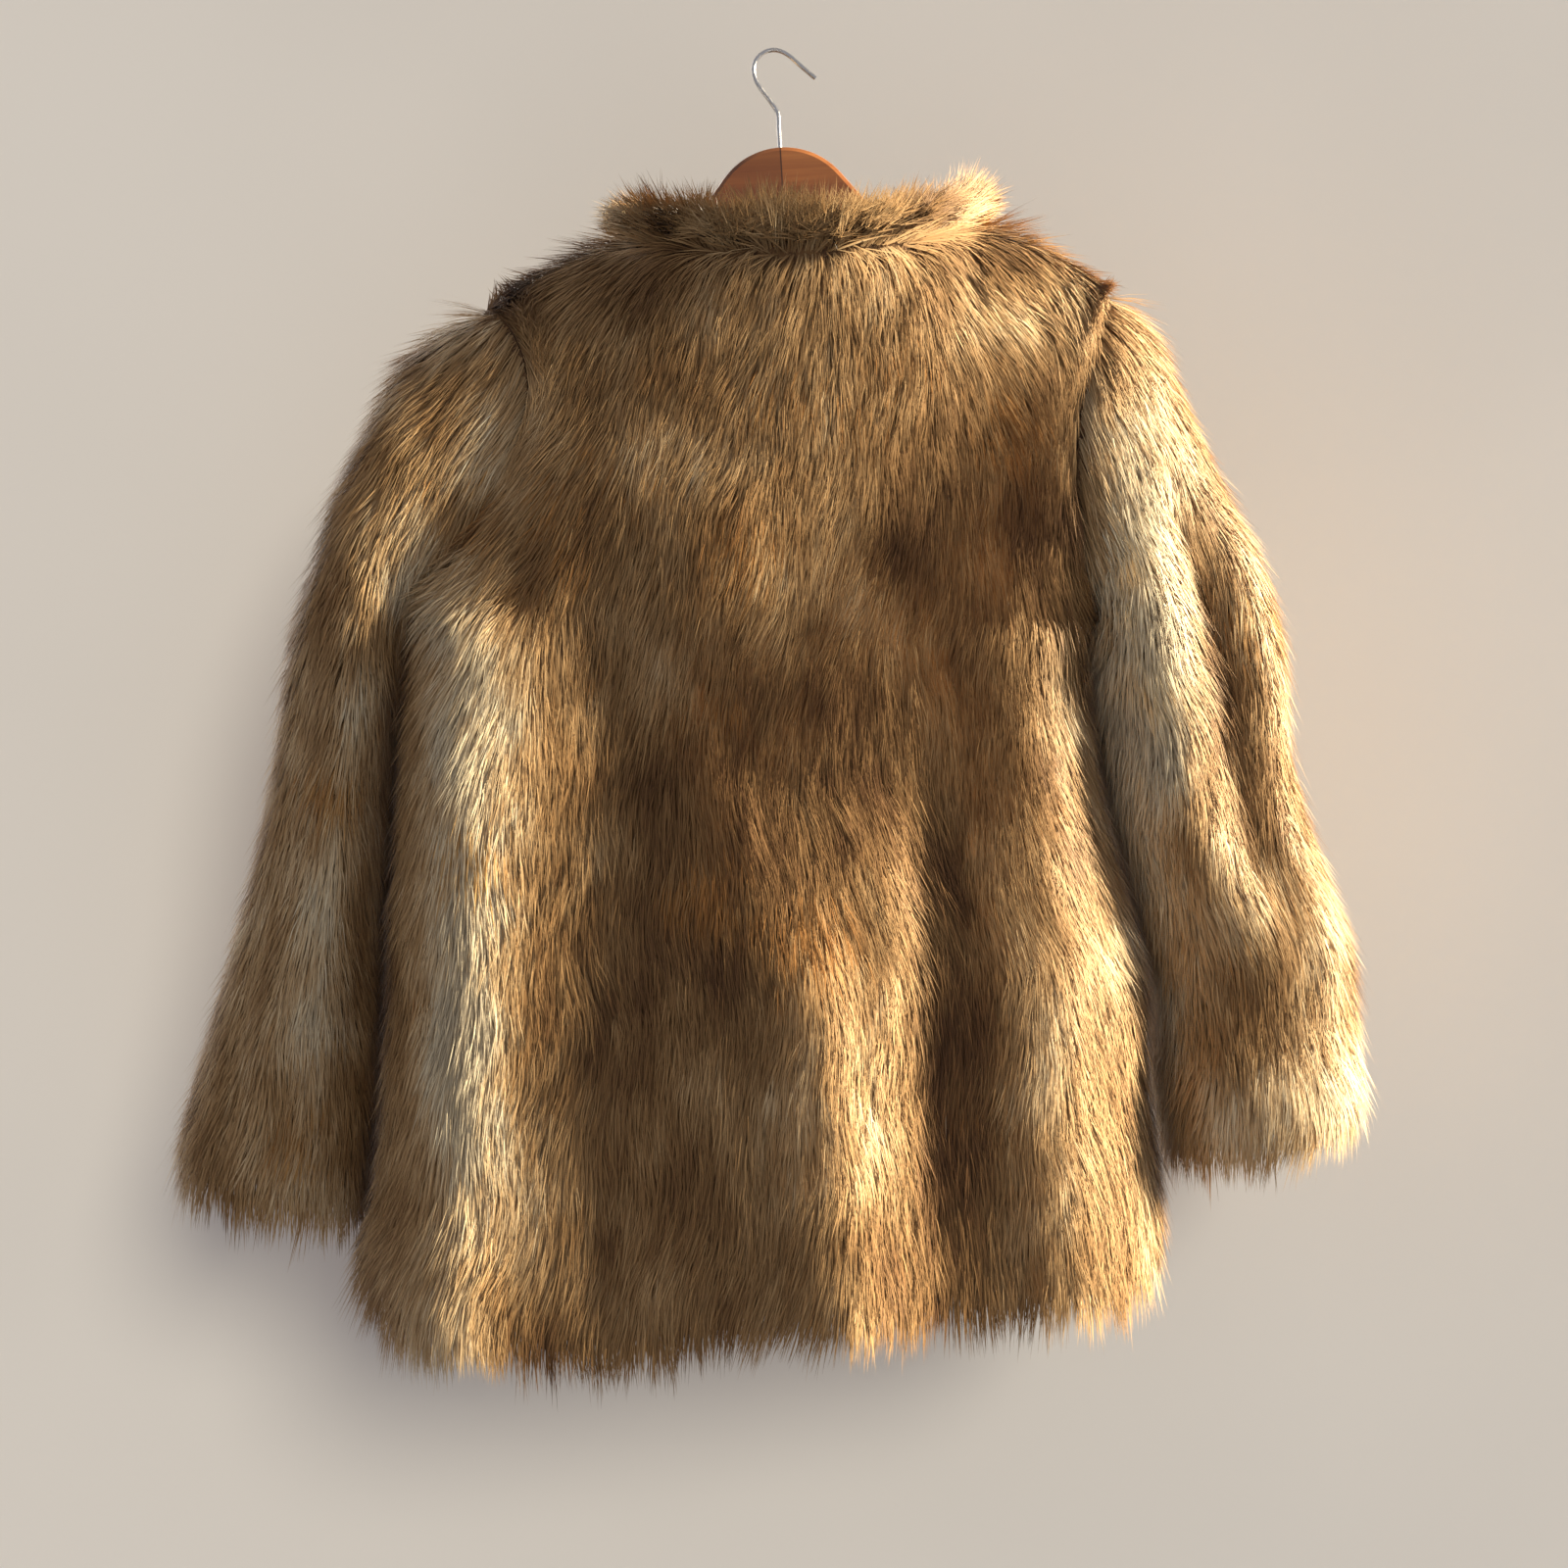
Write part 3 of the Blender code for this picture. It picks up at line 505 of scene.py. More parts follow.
@dataclass(frozen=True)
class BodyCut:
    """The back and the fronts, from the hem to the shoulder seams and the neck seam."""

    left_armhole: SleeveCut
    right_armhole: SleeveCut
    left_tip: Point2 = (-0.174, -0.152)  # of the shoulder: x and z
    right_tip: Point2 = (0.204, -0.143)
    left_neck: Point2 = (-0.086, -0.111)
    right_neck: Point2 = (0.120, -0.104)
    left_shoulder_bow: float = 0.006
    right_shoulder_bow: float = 0.009
    back_neck_depth: float = 0.052
    back_neck_drop: float = 0.022
    front_neck_depth: float = 0.060
    front_neck_drop: float = 0.094
    neck_roundness: float = 1.0
    neck_drop_power: float = 1.9
    section_power: float = 2.6
    even_share: float = 0.55
    shoulder_powers: Point2 = (1.6, 0.5)
    row_crowding: float = 1.3
    underarm_dip: float = 0.030
    underarm_fullness: float = 0.3
    underarm_reach: float = 0.045
    yoke_depth: float = 0.050
    yoke_power: float = 3
    neck_hold: float = 6
    edge_blend: float = 4
    hem_lift: float = 0.028  # how far the backing ends above the pile's tips

    def section_share(self, across: np.ndarray) -> np.ndarray:
        """How far across a section each column lies, from -1 at the left seam to 1."""
        even = 2 * across - 1
        return self.even_share * even + (1 - self.even_share) * np.sin(math.pi / 2 * even)

    def section_depth(self, share: np.ndarray) -> np.ndarray:
        """How far a section stands out there, as a share of its depth."""
        return np.sqrt(np.clip(1 - np.abs(share) ** self.section_power, 0, 1))

    def fold_height(self, side: Side, x: np.ndarray, z: np.ndarray) -> np.ndarray:
        """Adds up the folds and creases of a side.

        Args:
            side: Which side.
            x: Where to read them, across.
            z: Where to read them, up.

        Returns:
            How far they move the cloth outwards there.
        """
        folds, creases = (BACK_FOLDS, BACK_CREASES)
        if side is Side.FRONT:
            folds, creases = (FRONT_FOLDS, FRONT_CREASES)
        moved = np.zeros_like(x)
        hem = BODY[0].z
        for fold in folds:
            run = np.clip((fold.z_top - z) / (fold.z_top - hem), 0, 1)
            off = x - (fold.x_top + (fold.x_hem - fold.x_top) * run)
            width = np.where(off < 0, fold.left_width, fold.right_width)
            rise = smooth_step((fold.z_top - z) / fold.fade)
            moved += fold.height * rise * np.exp(-((off / width) ** 2))
        for crease in creases:
            along = (z - crease.z) / crease.half_length
            off = (x - crease.x - crease.slant * (crease.z - z)) / crease.half_width
            moved += crease.height * np.exp(-(along**2) - off**2)
        return moved

    def shoulder_line(
        self, neck: Point2, tip: Point2, bow: float, share: np.ndarray
    ) -> np.ndarray:
        """Lays points along a shoulder seam.

        Args:
            neck: The x and z of its end at the neck.
            tip: The x and z of its end at the armhole.
            bow: How far it is bowed up.
            share: How far along it each point lies, from the neck (0) to the tip (1).

        Returns:
            The points.
        """
        x = neck[0] + (tip[0] - neck[0]) * share
        z = neck[1] + (tip[1] - neck[1]) * share + bow * np.sin(math.pi * share)
        return np.stack([x, np.zeros_like(x), z], axis=-1)

    def neck_line(self, side: Side, angle: np.ndarray) -> np.ndarray:
        """Lays points along the neck seam.

        Args:
            side: Its half on the back or on the fronts.
            angle: Their angles. 0 is the left neck point and pi the right one.

        Returns:
            The points.
        """
        drop, depth = (self.back_neck_drop, self.back_neck_depth)
        if side is Side.FRONT:
            drop, depth = (self.front_neck_drop, self.front_neck_depth)
        part = (1 - np.cos(angle)) / 2
        arch = np.sin(angle).clip(0, 1)
        x = self.left_neck[0] + (self.right_neck[0] - self.left_neck[0]) * part
        z = self.left_neck[1] + (self.right_neck[1] - self.left_neck[1]) * part
        z = z - drop * arch**self.neck_drop_power
        y = side.value * depth * arch**self.neck_roundness
        return np.stack([x, y, z], axis=-1)

    def top_edge(self, side: Side) -> np.ndarray:
        """Lays points along the upper edge of a side.

        Args:
            side: Which side.

        Returns:
            The points, from the left tip along the shoulder seams and the neck seam to the right.
        """
        along = np.linspace(0, 1, SHOULDER_COLUMNS + 1)
        left = (self.left_neck, self.left_tip, self.left_shoulder_bow, along[::-1])
        right = (self.right_neck, self.right_tip, self.right_shoulder_bow, along)
        neck = self.neck_line(side, np.linspace(0, math.pi, NECK_COLUMNS + 1))
        ends = (self.shoulder_line(*left)[:-1], neck, self.shoulder_line(*right)[1:])
        return np.concatenate(ends)

    def grid(self, side: Side) -> np.ndarray:
        """The outer surface of the back or of both fronts.

        Args:
            side: Which of the two.

        Returns:
            Rows from the hem up, of points from the left side seam or armhole to the right one.
        """
        left_first = self.left_armhole.sections[0]
        right_first = self.right_armhole.sections[0]
        across = np.linspace(0, 1, PANEL_COLUMNS + 1)
        share = self.section_share(across)
        name = "back" if side is Side.BACK else "front"
        stands_out = self.section_depth(share)

        hem_z = read_table(HEM, "across", name, across) + self.hem_lift
        underarm_z = left_first.in_z + (right_first.in_z - left_first.in_z) * across
        underarm_z = underarm_z - self.underarm_dip * stands_out
        rise = np.linspace(0, 1, LOWER_ROWS + 1)[:, None]
        z = hem_z + (underarm_z - hem_z) * rise
        left = read_table(BODY, "z", "left", z)
        right = read_table(BODY, "z", "right", z)
        depth = read_table(BODY, "z", name, z)
        x = (left + right) / 2 + (right - left) / 2 * share
        x[-1, 0] = left_first.in_x
        x[-1, -1] = right_first.in_x
        fullness = self.underarm_fullness * np.exp((z - underarm_z) / self.underarm_reach)
        folds = self.fold_height(side, x, z) * stands_out
        y = side.value * (depth * stands_out ** (1 - fullness) + folds)
        lower = np.stack([x, y, z], axis=-1)

        top = self.top_edge(side)
        step = np.linspace(0, 1, UPPER_ROWS + 1)[1:]
        rise = (1 - (1 - step) ** self.row_crowding)[:, None]
        angle = -side.value * math.pi * step
        left_edge = self.left_armhole.oval(left_first, angle)
        right_edge = self.right_armhole.oval(right_first, angle)
        base = lower[-1]
        x = base[:, 0] * (1 - rise) + top[:, 0] * rise
        z = base[:, 2] * (1 - rise) + top[:, 2] * rise
        hold_left = (1 - across) ** self.edge_blend
        hold_right = across**self.edge_blend
        x_off = (left_edge[:, :1] - x[:, :1]) * hold_left
        z_off = (left_edge[:, 2:] - z[:, :1]) * hold_left
        x = x + (x_off + (right_edge[:, :1] - x[:, -1:]) * hold_right)
        z = z + (z_off + (right_edge[:, 2:] - z[:, -1:]) * hold_right)
        first_power, last_power = self.shoulder_powers
        turn_over = (1 - rise**first_power) ** last_power
        neck_share = rise**self.neck_hold
        yoke = self.yoke_depth * np.sin(math.pi * across) ** self.yoke_power
        top_depth = yoke * (1 - neck_share) + np.abs(top[:, 1]) * neck_share
        chest = np.sqrt(top_depth**2 + (depth[-1] ** 2 - top_depth**2) * turn_over**2)
        edge = np.abs(left_edge[:, 1:2]) * (1 - stands_out)
        folds = self.fold_height(side, x, z) * stands_out * turn_over
        y = side.value * (edge + chest * stands_out + folds)
        upper = np.stack([x, y, z], axis=-1)
        upper[-1] = top
        upper[:, 0] = left_edge
        upper[:, -1] = right_edge
        return np.concatenate([lower, upper])


@dataclass(frozen=True)
class CollarCut:
    """The narrow band that stands round the neck seam."""

    body: BodyCut
    height: float = 0.010  # of the backing, below the pile's tips

    def grid(self) -> np.ndarray:
        """The band's outer surface.

        Returns:
            Rows up from the neck seam, of points from the centre front round the left side and
            the back to the centre front again.
        """
        half = NECK_COLUMNS // 2
        angles = np.linspace(0, math.pi, NECK_COLUMNS + 1)
        front = self.body.neck_line(Side.FRONT, angles)
        back = self.body.neck_line(Side.BACK, angles)
        seam = np.concatenate([front[half:0:-1], back, front[-2 : half - 1 : -1]])
        middle = (seam[:, :2].min(axis=0) + seam[:, :2].max(axis=0)) / 2
        outwards = seam[:, :2] - middle
        outwards /= np.linalg.norm(outwards, axis=1, keepdims=True)
        rows = []
        for height in np.linspace(0, self.height, COLLAR_ROWS + 1):
            level = seam.copy()
            level[:, :2] += outwards * read_table(COLLAR, "height", "lean", height)
            level[:, 2] += height
            rows.append(level)
        return np.array(rows)


# ---------------------------------------------------------------------------------------------
# Node trees
# ---------------------------------------------------------------------------------------------


@dataclass
class NodeSketch:
    """A node tree under construction, with short calls for the nodes that it needs.

    A value that goes into a node is a plain one or a socket, and then it is linked.
    """

    tree: bpy.types.NodeTree

    def fill(self, node: bpy.types.Node, values: dict[Any, Any]) -> None:
        """Links or sets a node's inputs.

        Args:
            node: The node.
            values: A value for each input, by number or name.
        """
        for key, value in values.items():
            if isinstance(value, bpy.types.NodeSocket):
                self.tree.links.new(value, node.inputs[key])
            else:
                node.inputs[key].default_value = value

    def add(self, kind: str, values: dict[Any, Any] | None = None, **settings: Any) -> Any:
        """Adds a node.

        Args:
            kind: The node's type.
            values: A value for each input, by number or name.
            settings: The node's own properties.

        Returns:
            The node.
        """
        node = self.tree.nodes.new(kind)
        for name, value in settings.items():
            setattr(node, name, value)
        self.fill(node, values or {})
        return node

    def out(self, kind: str, values: dict[Any, Any] | None = None, **settings: Any) -> Any:
        """Adds a node and gives its first output that is in use."""
        node = self.add(kind, values, **settings)
        return next(socket for socket in node.outputs if socket.enabled)

    def math(self, operation: str, first: Any, second: Any = 0.0, third: Any = 0.0) -> Any:
        """A sum on numbers."""
        values = {0: first, 1: second, 2: third}
        return self.out("ShaderNodeMath", values, operation=operation)

    def within(self, value: Any, span: Span) -> Any:
        """A value of 0 to 1, spread over a span."""
        return self.math("MULTIPLY_ADD", value, span[1] - span[0], span[0])

    def between(self, value: Any, span: Span) -> Any:
        """How far a value is on its way through a span, held to 0 and 1, with soft ends."""
        values = {0: value, 1: span[0], 2: span[1]}
        return self.out("ShaderNodeMapRange", values, interpolation_type="SMOOTHSTEP")

    def vector(self, operation: str, first: Any, second: Any = (0, 0, 0)) -> Any:
        """A sum on vectors."""
        return self.out("ShaderNodeVectorMath", {0: first, 1: second}, operation=operation)

    def scaled(self, vector: Any, factor: Any) -> Any:
        """A vector times a number."""
        return self.out("ShaderNodeVectorMath", {0: vector, 3: factor}, operation="SCALE")

    def noise(self, vector: Any, scale: Any, detail: float = 2.0, roughness: float = 0.5) -> Any:
        """Smooth noise around 0.5."""
        values = {"Vector": vector, "Scale": scale, "Detail": detail, "Roughness": roughness}
        return self.out("ShaderNodeTexNoise", values)

    def mixed(self, factor: Any, first: Any, second: Any, blend: str = "MIX") -> Any:
        """Mixes two colours.

        Args:
            factor: The share of the second one.
            first: The one colour.
            second: The other.
            blend: How the second one acts on the first.

        Returns:
            The mix's socket.
        """
        node = self.add("ShaderNodeMix", {0: factor}, data_type="RGBA", blend_type=blend)
        for key, value in {6: first, 7: second}.items():
            socket = isinstance(value, bpy.types.NodeSocket)
            self.fill(node, {key: value if socket else (*value, 1)})
        return node.outputs[2]

    def ramp(self, factor: Any, stops: tuple[tuple[float, Colour], ...]) -> Any:
        """Turns a number into a colour.

        Args:
            factor: The number, from 0 to 1.
            stops: The places that have a colour given, and those colours.

        Returns:
            The colour's socket.
        """
        node = self.add("ShaderNodeValToRGB", {0: factor})
        elements = node.color_ramp.elements
        while len(elements) > 1:
            elements.remove(elements[-1])
        elements[0].position = stops[0][0]
        elements[0].color = (*stops[0][1], 1)
        for place, colour in stops[1:]:
            elements.new(place).color = (*colour, 1)
        return node.outputs[0]

    def group(self, tree: bpy.types.NodeTree, values: dict[str, Any]) -> Any:
        """Places a node group and gives its first output."""
        return self.add("ShaderNodeGroup", values, node_tree=tree).outputs[0]


def linear(red: int, green: int, blue: int) -> Colour:
    """A linear colour from screen values of 0 to 255."""
    shares = (value / 255 for value in (red, green, blue))
    return tuple(s / 12.92 if s <= 0.04045 else ((s + 0.055) / 1.055) ** 2.4 for s in shares)


# ---------------------------------------------------------------------------------------------
# Finishes
# ---------------------------------------------------------------------------------------------

PILE_MAP = "OFBake"  # the pile's map: each strand's colour across, and from its root to its tip up
CUT_MAP = "Cut"  # a cloth piece's map: across and along the cut, each from 0 to 1
COLOURS = 256  # how many colours a strand may have
RUST_FROM = 192  # the colours from here on are rusty

MAIN_COLOURS = (
    (0.00, linear(88, 58, 34)),
    (0.15, linear(124, 88, 52)),
    (0.32, linear(164, 124, 77)),
    (0.50, linear(200, 162, 112)),
    (0.64, linear(228, 199, 153)),
    (0.745, linear(246, 230, 194)),
    (0.755, linear(110, 72, 37)),
    (0.88, linear(184, 130, 71)),
    (1.00, linear(224, 180, 116)),
)
# the dark roots are painted shade deep in the pile
ROOT_PAINTED_SHADE = linear(84, 56, 33)
ROOT_PAINTED_SHADE_SPAN = (-0.1, 0.45)  # where along a strand its root's colour fades
TIP_COLOUR = linear(60, 38, 23)
TIP_SPAN = (0.68, 1.0)  # where along a strand its tip's colour comes on
TIP_LOTS = (0.30, 0.90)  # the lots from which a colour has a slight and a full tip
BROAD_STREAKS = 0.17  # the fineness of the broad streaks beside the fine ones
BROAD_SHARE = 0.6


def new_group(name: str, sockets: dict[str, str], result: str) -> bpy.types.NodeTree:
    """Makes an empty shader node group.

    Args:
        name: The group's name.
        sockets: The type of each input, by name.
        result: The name of its one output, a colour or a value.

    Returns:
        The group's tree, with its input and output nodes.
    """
    tree = bpy.data.node_groups.new(name, "ShaderNodeTree")
    for socket, kind in sockets.items():
        tree.interface.new_socket(socket, in_out="INPUT", socket_type=kind)
    kind = "NodeSocketColor" if result == "Colour" else "NodeSocketFloat"
    tree.interface.new_socket(result, in_out="OUTPUT", socket_type=kind)
    tree.nodes.new("NodeGroupInput").name = "In"
    tree.nodes.new("NodeGroupOutput").name = "Out"
    return tree


def pile_colour_group() -> bpy.types.NodeTree:
    """Makes the group for the colour along a strand.

    Returns:
        The group. A strand has a dark root of painted shade, its own colour and, on some, a dark
        tip.
    """
    sockets = {
        "Map": "NodeSocketVector",
        "Root shade": "NodeSocketFloat",
        "Tip shade": "NodeSocketFloat",
    }
    tree = new_group("Pile colour", sockets, "Colour")
    sketch = NodeSketch(tree)
    given = tree.nodes["In"].outputs
    across, along = sketch.add("ShaderNodeSeparateXYZ", {0: given["Map"]}).outputs[:2]
    number = sketch.math("FLOOR", sketch.math("MULTIPLY", across, COLOURS))
    share = sketch.math("DIVIDE", sketch.math("ADD", number, 0.5), COLOURS)
    body = sketch.ramp(share, MAIN_COLOURS)
    lot = sketch.out("ShaderNodeTexWhiteNoise", {"W": number}, noise_dimensions="1D")
    dark_tip = sketch.math("MULTIPLY", sketch.between(lot, TIP_LOTS), given["Tip shade"])
    at_tip = sketch.between(along, TIP_SPAN)
    at_root = sketch.math("SUBTRACT", 1.0, sketch.between(along, ROOT_PAINTED_SHADE_SPAN))
    with_root_painted_shade = sketch.mixed(sketch.math("MULTIPLY", at_root, given["Root shade"]), body, ROOT_PAINTED_SHADE)
    tipped = sketch.mixed(sketch.math("MULTIPLY", at_tip, dark_tip), with_root_painted_shade, TIP_COLOUR)
    tree.links.new(tipped, tree.nodes["Out"].inputs[0])
    return tree


def streak_group() -> bpy.types.NodeTree:
    """Makes the group for uneven streaks along one direction of a map.

    Returns:
        The group. Its value is around 0.5.
    """
    sockets = {"Map": "NodeSocketVector", "Fineness": "NodeSocketVector"}
    tree = new_group("Streaks", sockets, "Value")
    sketch = NodeSketch(tree)
    given = tree.nodes["In"].outputs
    stretched = sketch.vector("MULTIPLY", given["Map"], given["Fineness"])
    fine = sketch.noise(stretched, 1.0, 4.0, 0.6)
    broad = sketch.noise(stretched, BROAD_STREAKS, 2.0, 0.5)
    total = sketch.math("MULTIPLY", fine, 1 - BROAD_SHARE)
    total = sketch.math("MULTIPLY_ADD", broad, BROAD_SHARE, total)
    tree.links.new(total, tree.nodes["Out"].inputs[0])
    return tree


def new_material(name: str) -> tuple[bpy.types.Material, NodeSketch, bpy.types.Node]:
    """Makes a material with nodes.

    Args:
        name: The material's name.

    Returns:
        The material, a sketch of its tree and its surface shader.
    """
    material = bpy.data.materials.new(name)
    material.use_nodes = True
    return material, NodeSketch(material.node_tree), material.node_tree.nodes["Principled BSDF"]


@dataclass(frozen=True)
class PileFinish:
    """Soft strands with painted shade at their roots and, on some, dark tips."""

    name: str
    colours: bpy.types.NodeTree
    # how far the roots are darkened with painted shade
    root_shade: float = 0.34
    tip_shade: float = 0.75
    roughness: float = 0.55
    sheen: float = 0.25
    sheen_roughness: float = 0.4
    specular: float = 0.22

    def material(self) -> bpy.types.Material:
        """Makes the finish.

        Returns:
            Its material.
        """
        material, sketch, shader = new_material(self.name)
        place = sketch.out("ShaderNodeUVMap", uv_map=PILE_MAP)
        values = {"Map": place, "Root shade": self.root_shade, "Tip shade": self.tip_shade}
        colour = sketch.group(self.colours, values)
        sketch.fill(shader, {"Base Color": colour, "Roughness": self.roughness})
        sketch.fill(shader, {"Sheen Weight": self.sheen, "Sheen Roughness": self.sheen_roughness})
        sketch.fill(shader, {"Specular IOR Level": self.specular})
        return material


@dataclass(frozen=True)
class UnderfurFinish:
    """The short dense fur at the roots, streaked along the comb."""

    name: str
    streaks: bpy.types.NodeTree
    dark: Colour = linear(70, 47, 29)
    light: Colour = linear(150, 112, 70)
    fineness: Vector3 = (260.0, 22.0, 1.0)
    contrast: Span = (0.32, 0.68)
    relief: float = 0.0012
    roughness: float = 0.85

    def material(self) -> bpy.types.Material:
        """Makes the finish.

        Returns:
            Its material.
        """
        material, sketch, shader = new_material(self.name)
        place = sketch.out("ShaderNodeUVMap", uv_map=CUT_MAP)
        streak = sketch.group(self.streaks, {"Map": place, "Fineness": self.fineness})
        sharp = sketch.between(streak, self.contrast)
        colour = sketch.mixed(sharp, self.dark, self.light)
        bump = sketch.out("ShaderNodeBump", {"Height": sharp, "Distance": self.relief})
        sketch.fill(shader, {"Base Color": colour, "Normal": bump, "Roughness": self.roughness})
        return material


@dataclass(frozen=True)
class BackingFinish:
    """The knitted backing that the pile is fixed in, as seen inside the jacket."""

    name: str
    streaks: bpy.types.NodeTree
    thread: Colour = linear(176, 150, 116)
    gap: Colour = linear(112, 88, 62)
    ribs: Vector3 = (1400.0, 900.0, 1.0)  # twice pi times the number of loops each way
    loop: Span = (-0.8, 0.5)  # from a gap to a thread
    wear_fineness: Vector3 = (30.0, 30.0, 1.0)
    wear: Span = (0.3, 0.7)
    relief: float = 0.0005
    roughness: float = 0.9

    def material(self) -> bpy.types.Material:
        """Makes the finish.

        Returns:
            Its material.
        """
        material, sketch, shader = new_material(self.name)
        place = sketch.out("ShaderNodeUVMap", uv_map=CUT_MAP)
        loops = sketch.vector("SINE", sketch.vector("MULTIPLY", place, self.ribs))
        across, along = sketch.add("ShaderNodeSeparateXYZ", {0: loops}).outputs[:2]
        mask = sketch.between(sketch.math("MULTIPLY", across, along), self.loop)
        worn = sketch.group(self.streaks, {"Map": place, "Fineness": self.wear_fineness})
        thread = sketch.mixed(sketch.between(worn, self.wear), self.gap, self.thread)
        colour = sketch.mixed(mask, self.gap, thread)
        bump = sketch.out("ShaderNodeBump", {"Height": mask, "Distance": self.relief})
        sketch.fill(shader, {"Base Color": colour, "Normal": bump, "Roughness": self.roughness})
        return material


@dataclass(frozen=True)
class WoodFinish:
    """Varnished wood in two halves that are joined at the middle, with painted shade on the half
    towards -X.
    """

    name: str
    streaks: bpy.types.NodeTree
    tilt: float  # of the board, about the hook
    light: Colour = linear(184, 118, 62)
    dark: Colour = linear(126, 70, 33)
    grain: Vector3 = (9.0, 160.0, 160.0)
    contrast: Span = (0.30, 0.70)
    # painted shade on the half towards -X
    shaded_half: Colour = (0.66, 0.62, 0.60)
    halves: Span = (-0.0004, 0.0004)
    joint: Colour = linear(58, 30, 14)
    joint_edge: Span = (0.0001, 0.0007)
    roughness: Span = (0.22, 0.38)
    relief: float = 0.0001
    varnish: float = 0.5
    varnish_roughness: float = 0.12

    def material(self) -> bpy.types.Material:
        """Makes the finish.

        Returns:
            Its material.
        """
        material, sketch, shader = new_material(self.name)
        place = sketch.add("ShaderNodeTexCoord").outputs["Object"]
        turn = (0.0, self.tilt, 0.0)
        board = sketch.out("ShaderNodeMapping", {"Vector": place, "Rotation": turn})
        streak = sketch.group(self.streaks, {"Map": board, "Fineness": self.grain})
        wood = sketch.mixed(sketch.between(streak, self.contrast), self.dark, self.light)
        across = sketch.add("ShaderNodeSeparateXYZ", {0: board}).outputs[0]
        # painted shade over the half towards -X
        shaded = sketch.mixed(1.0, wood, self.shaded_half, blend="MULTIPLY")
        both = sketch.mixed(sketch.between(across, self.halves), shaded, wood)
        off_joint = sketch.between(sketch.math("ABSOLUTE", across), self.joint_edge)
        colour = sketch.mixed(off_joint, self.joint, both)
        rough = sketch.within(streak, self.roughness)
        bump = sketch.out("ShaderNodeBump", {"Height": streak, "Distance": self.relief})
        sketch.fill(shader, {"Base Color": colour, "Roughness": rough, "Normal": bump})
        sketch.fill(
            shader, {"Coat Weight": self.varnish, "Coat Roughness": self.varnish_roughness}
        )
        return material


@dataclass(frozen=True)
class ChromeFinish:
    """Thin bright plating on wire, slightly dulled in patches."""

    name: str
    streaks: bpy.types.NodeTree
    bright: Colour = (0.74, 0.73, 0.72)
    dull: Colour = (0.52, 0.50, 0.48)
    wear_fineness: Vector3 = (400.0, 400.0, 90.0)
    wear: Span = (0.42, 0.62)
    roughness: Span = (0.12, 0.32)

    def material(self) -> bpy.types.Material:
        """Makes the finish.

        Returns:
            Its material.
        """
        material, sketch, shader = new_material(self.name)
        place = sketch.add("ShaderNodeTexCoord").outputs["Object"]
        worn = sketch.group(self.streaks, {"Map": place, "Fineness": self.wear_fineness})
        mask = sketch.between(worn, self.wear)
        colour = sketch.mixed(mask, self.bright, self.dull)
        rough = sketch.within(mask, self.roughness)
        sketch.fill(shader, {"Base Color": colour, "Roughness": rough, "Metallic": 1.0})
        return material


@dataclass(frozen=True)
class PaintFinish:
    """A pale matt paint for the studio's floor and wall. Seen from behind it is clear."""

    name: str
    colour: Colour
    darkest: float = 0.93
    mottle_size: float = 1.6
    mottle: Span = (0.3, 0.7)
    roughness: float = 0.9

    def material(self) -> bpy.types.Material:
        """Makes the finish.

        Returns:
            Its material.
        """
        material, sketch, shader = new_material(self.name)
        place = sketch.add("ShaderNodeTexCoord").outputs["Object"]
        mottled = sketch.between(sketch.noise(place, self.mottle_size, 2.0), self.mottle)
        darker = tuple(self.darkest * part for part in self.colour)
        colour = sketch.mixed(mottled, darker, self.colour)
        sketch.fill(shader, {"Base Color": colour, "Roughness": self.roughness})
        behind = sketch.add("ShaderNodeNewGeometry").outputs["Backfacing"]
        clear = sketch.out("ShaderNodeBsdfTransparent")
        seen = sketch.out("ShaderNodeMixShader", {0: behind, 1: shader.outputs[0], 2: clear})
        output = material.node_tree.nodes["Material Output"]
        material.node_tree.links.new(seen, output.inputs["Surface"])
        return material


# ---------------------------------------------------------------------------------------------
# Pile
# ---------------------------------------------------------------------------------------------

CARRIED = ("comb", "up", "thickness", "reach", "loft", "ruffled", "shade", "rust")  # by the cloth
SCRATCH = (*CARRIED, "strand", "root", "number")  # what a finished pile no longer needs


@dataclass(frozen=True)
class PileStyle:
    """The sizes of the strands of one piece, in metres and degrees."""

    length: float = 0.034
    height: float = 0.0084  # of the tips above the roots
    width: float = 0.00078
    sway: float = 22.0  # how far the comb wanders in patches
    stray: float = 6.0  # how far each strand wanders by itself
    roll: float = 20.0
    lift: float = 13.0  # how far the most ruffled strands stand up
    lock_size: float = 0.011
    lock_pull: float = 0.45  # how far the tips of a lock are drawn together
    patch_size: float = 0.045

    def inputs(self) -> dict[str, float]:
        """The sizes, by the names of the pile tree's inputs for them, such as Lock size."""
        return {name.replace("_", " ").capitalize(): size for name, size in asdict(self).items()}


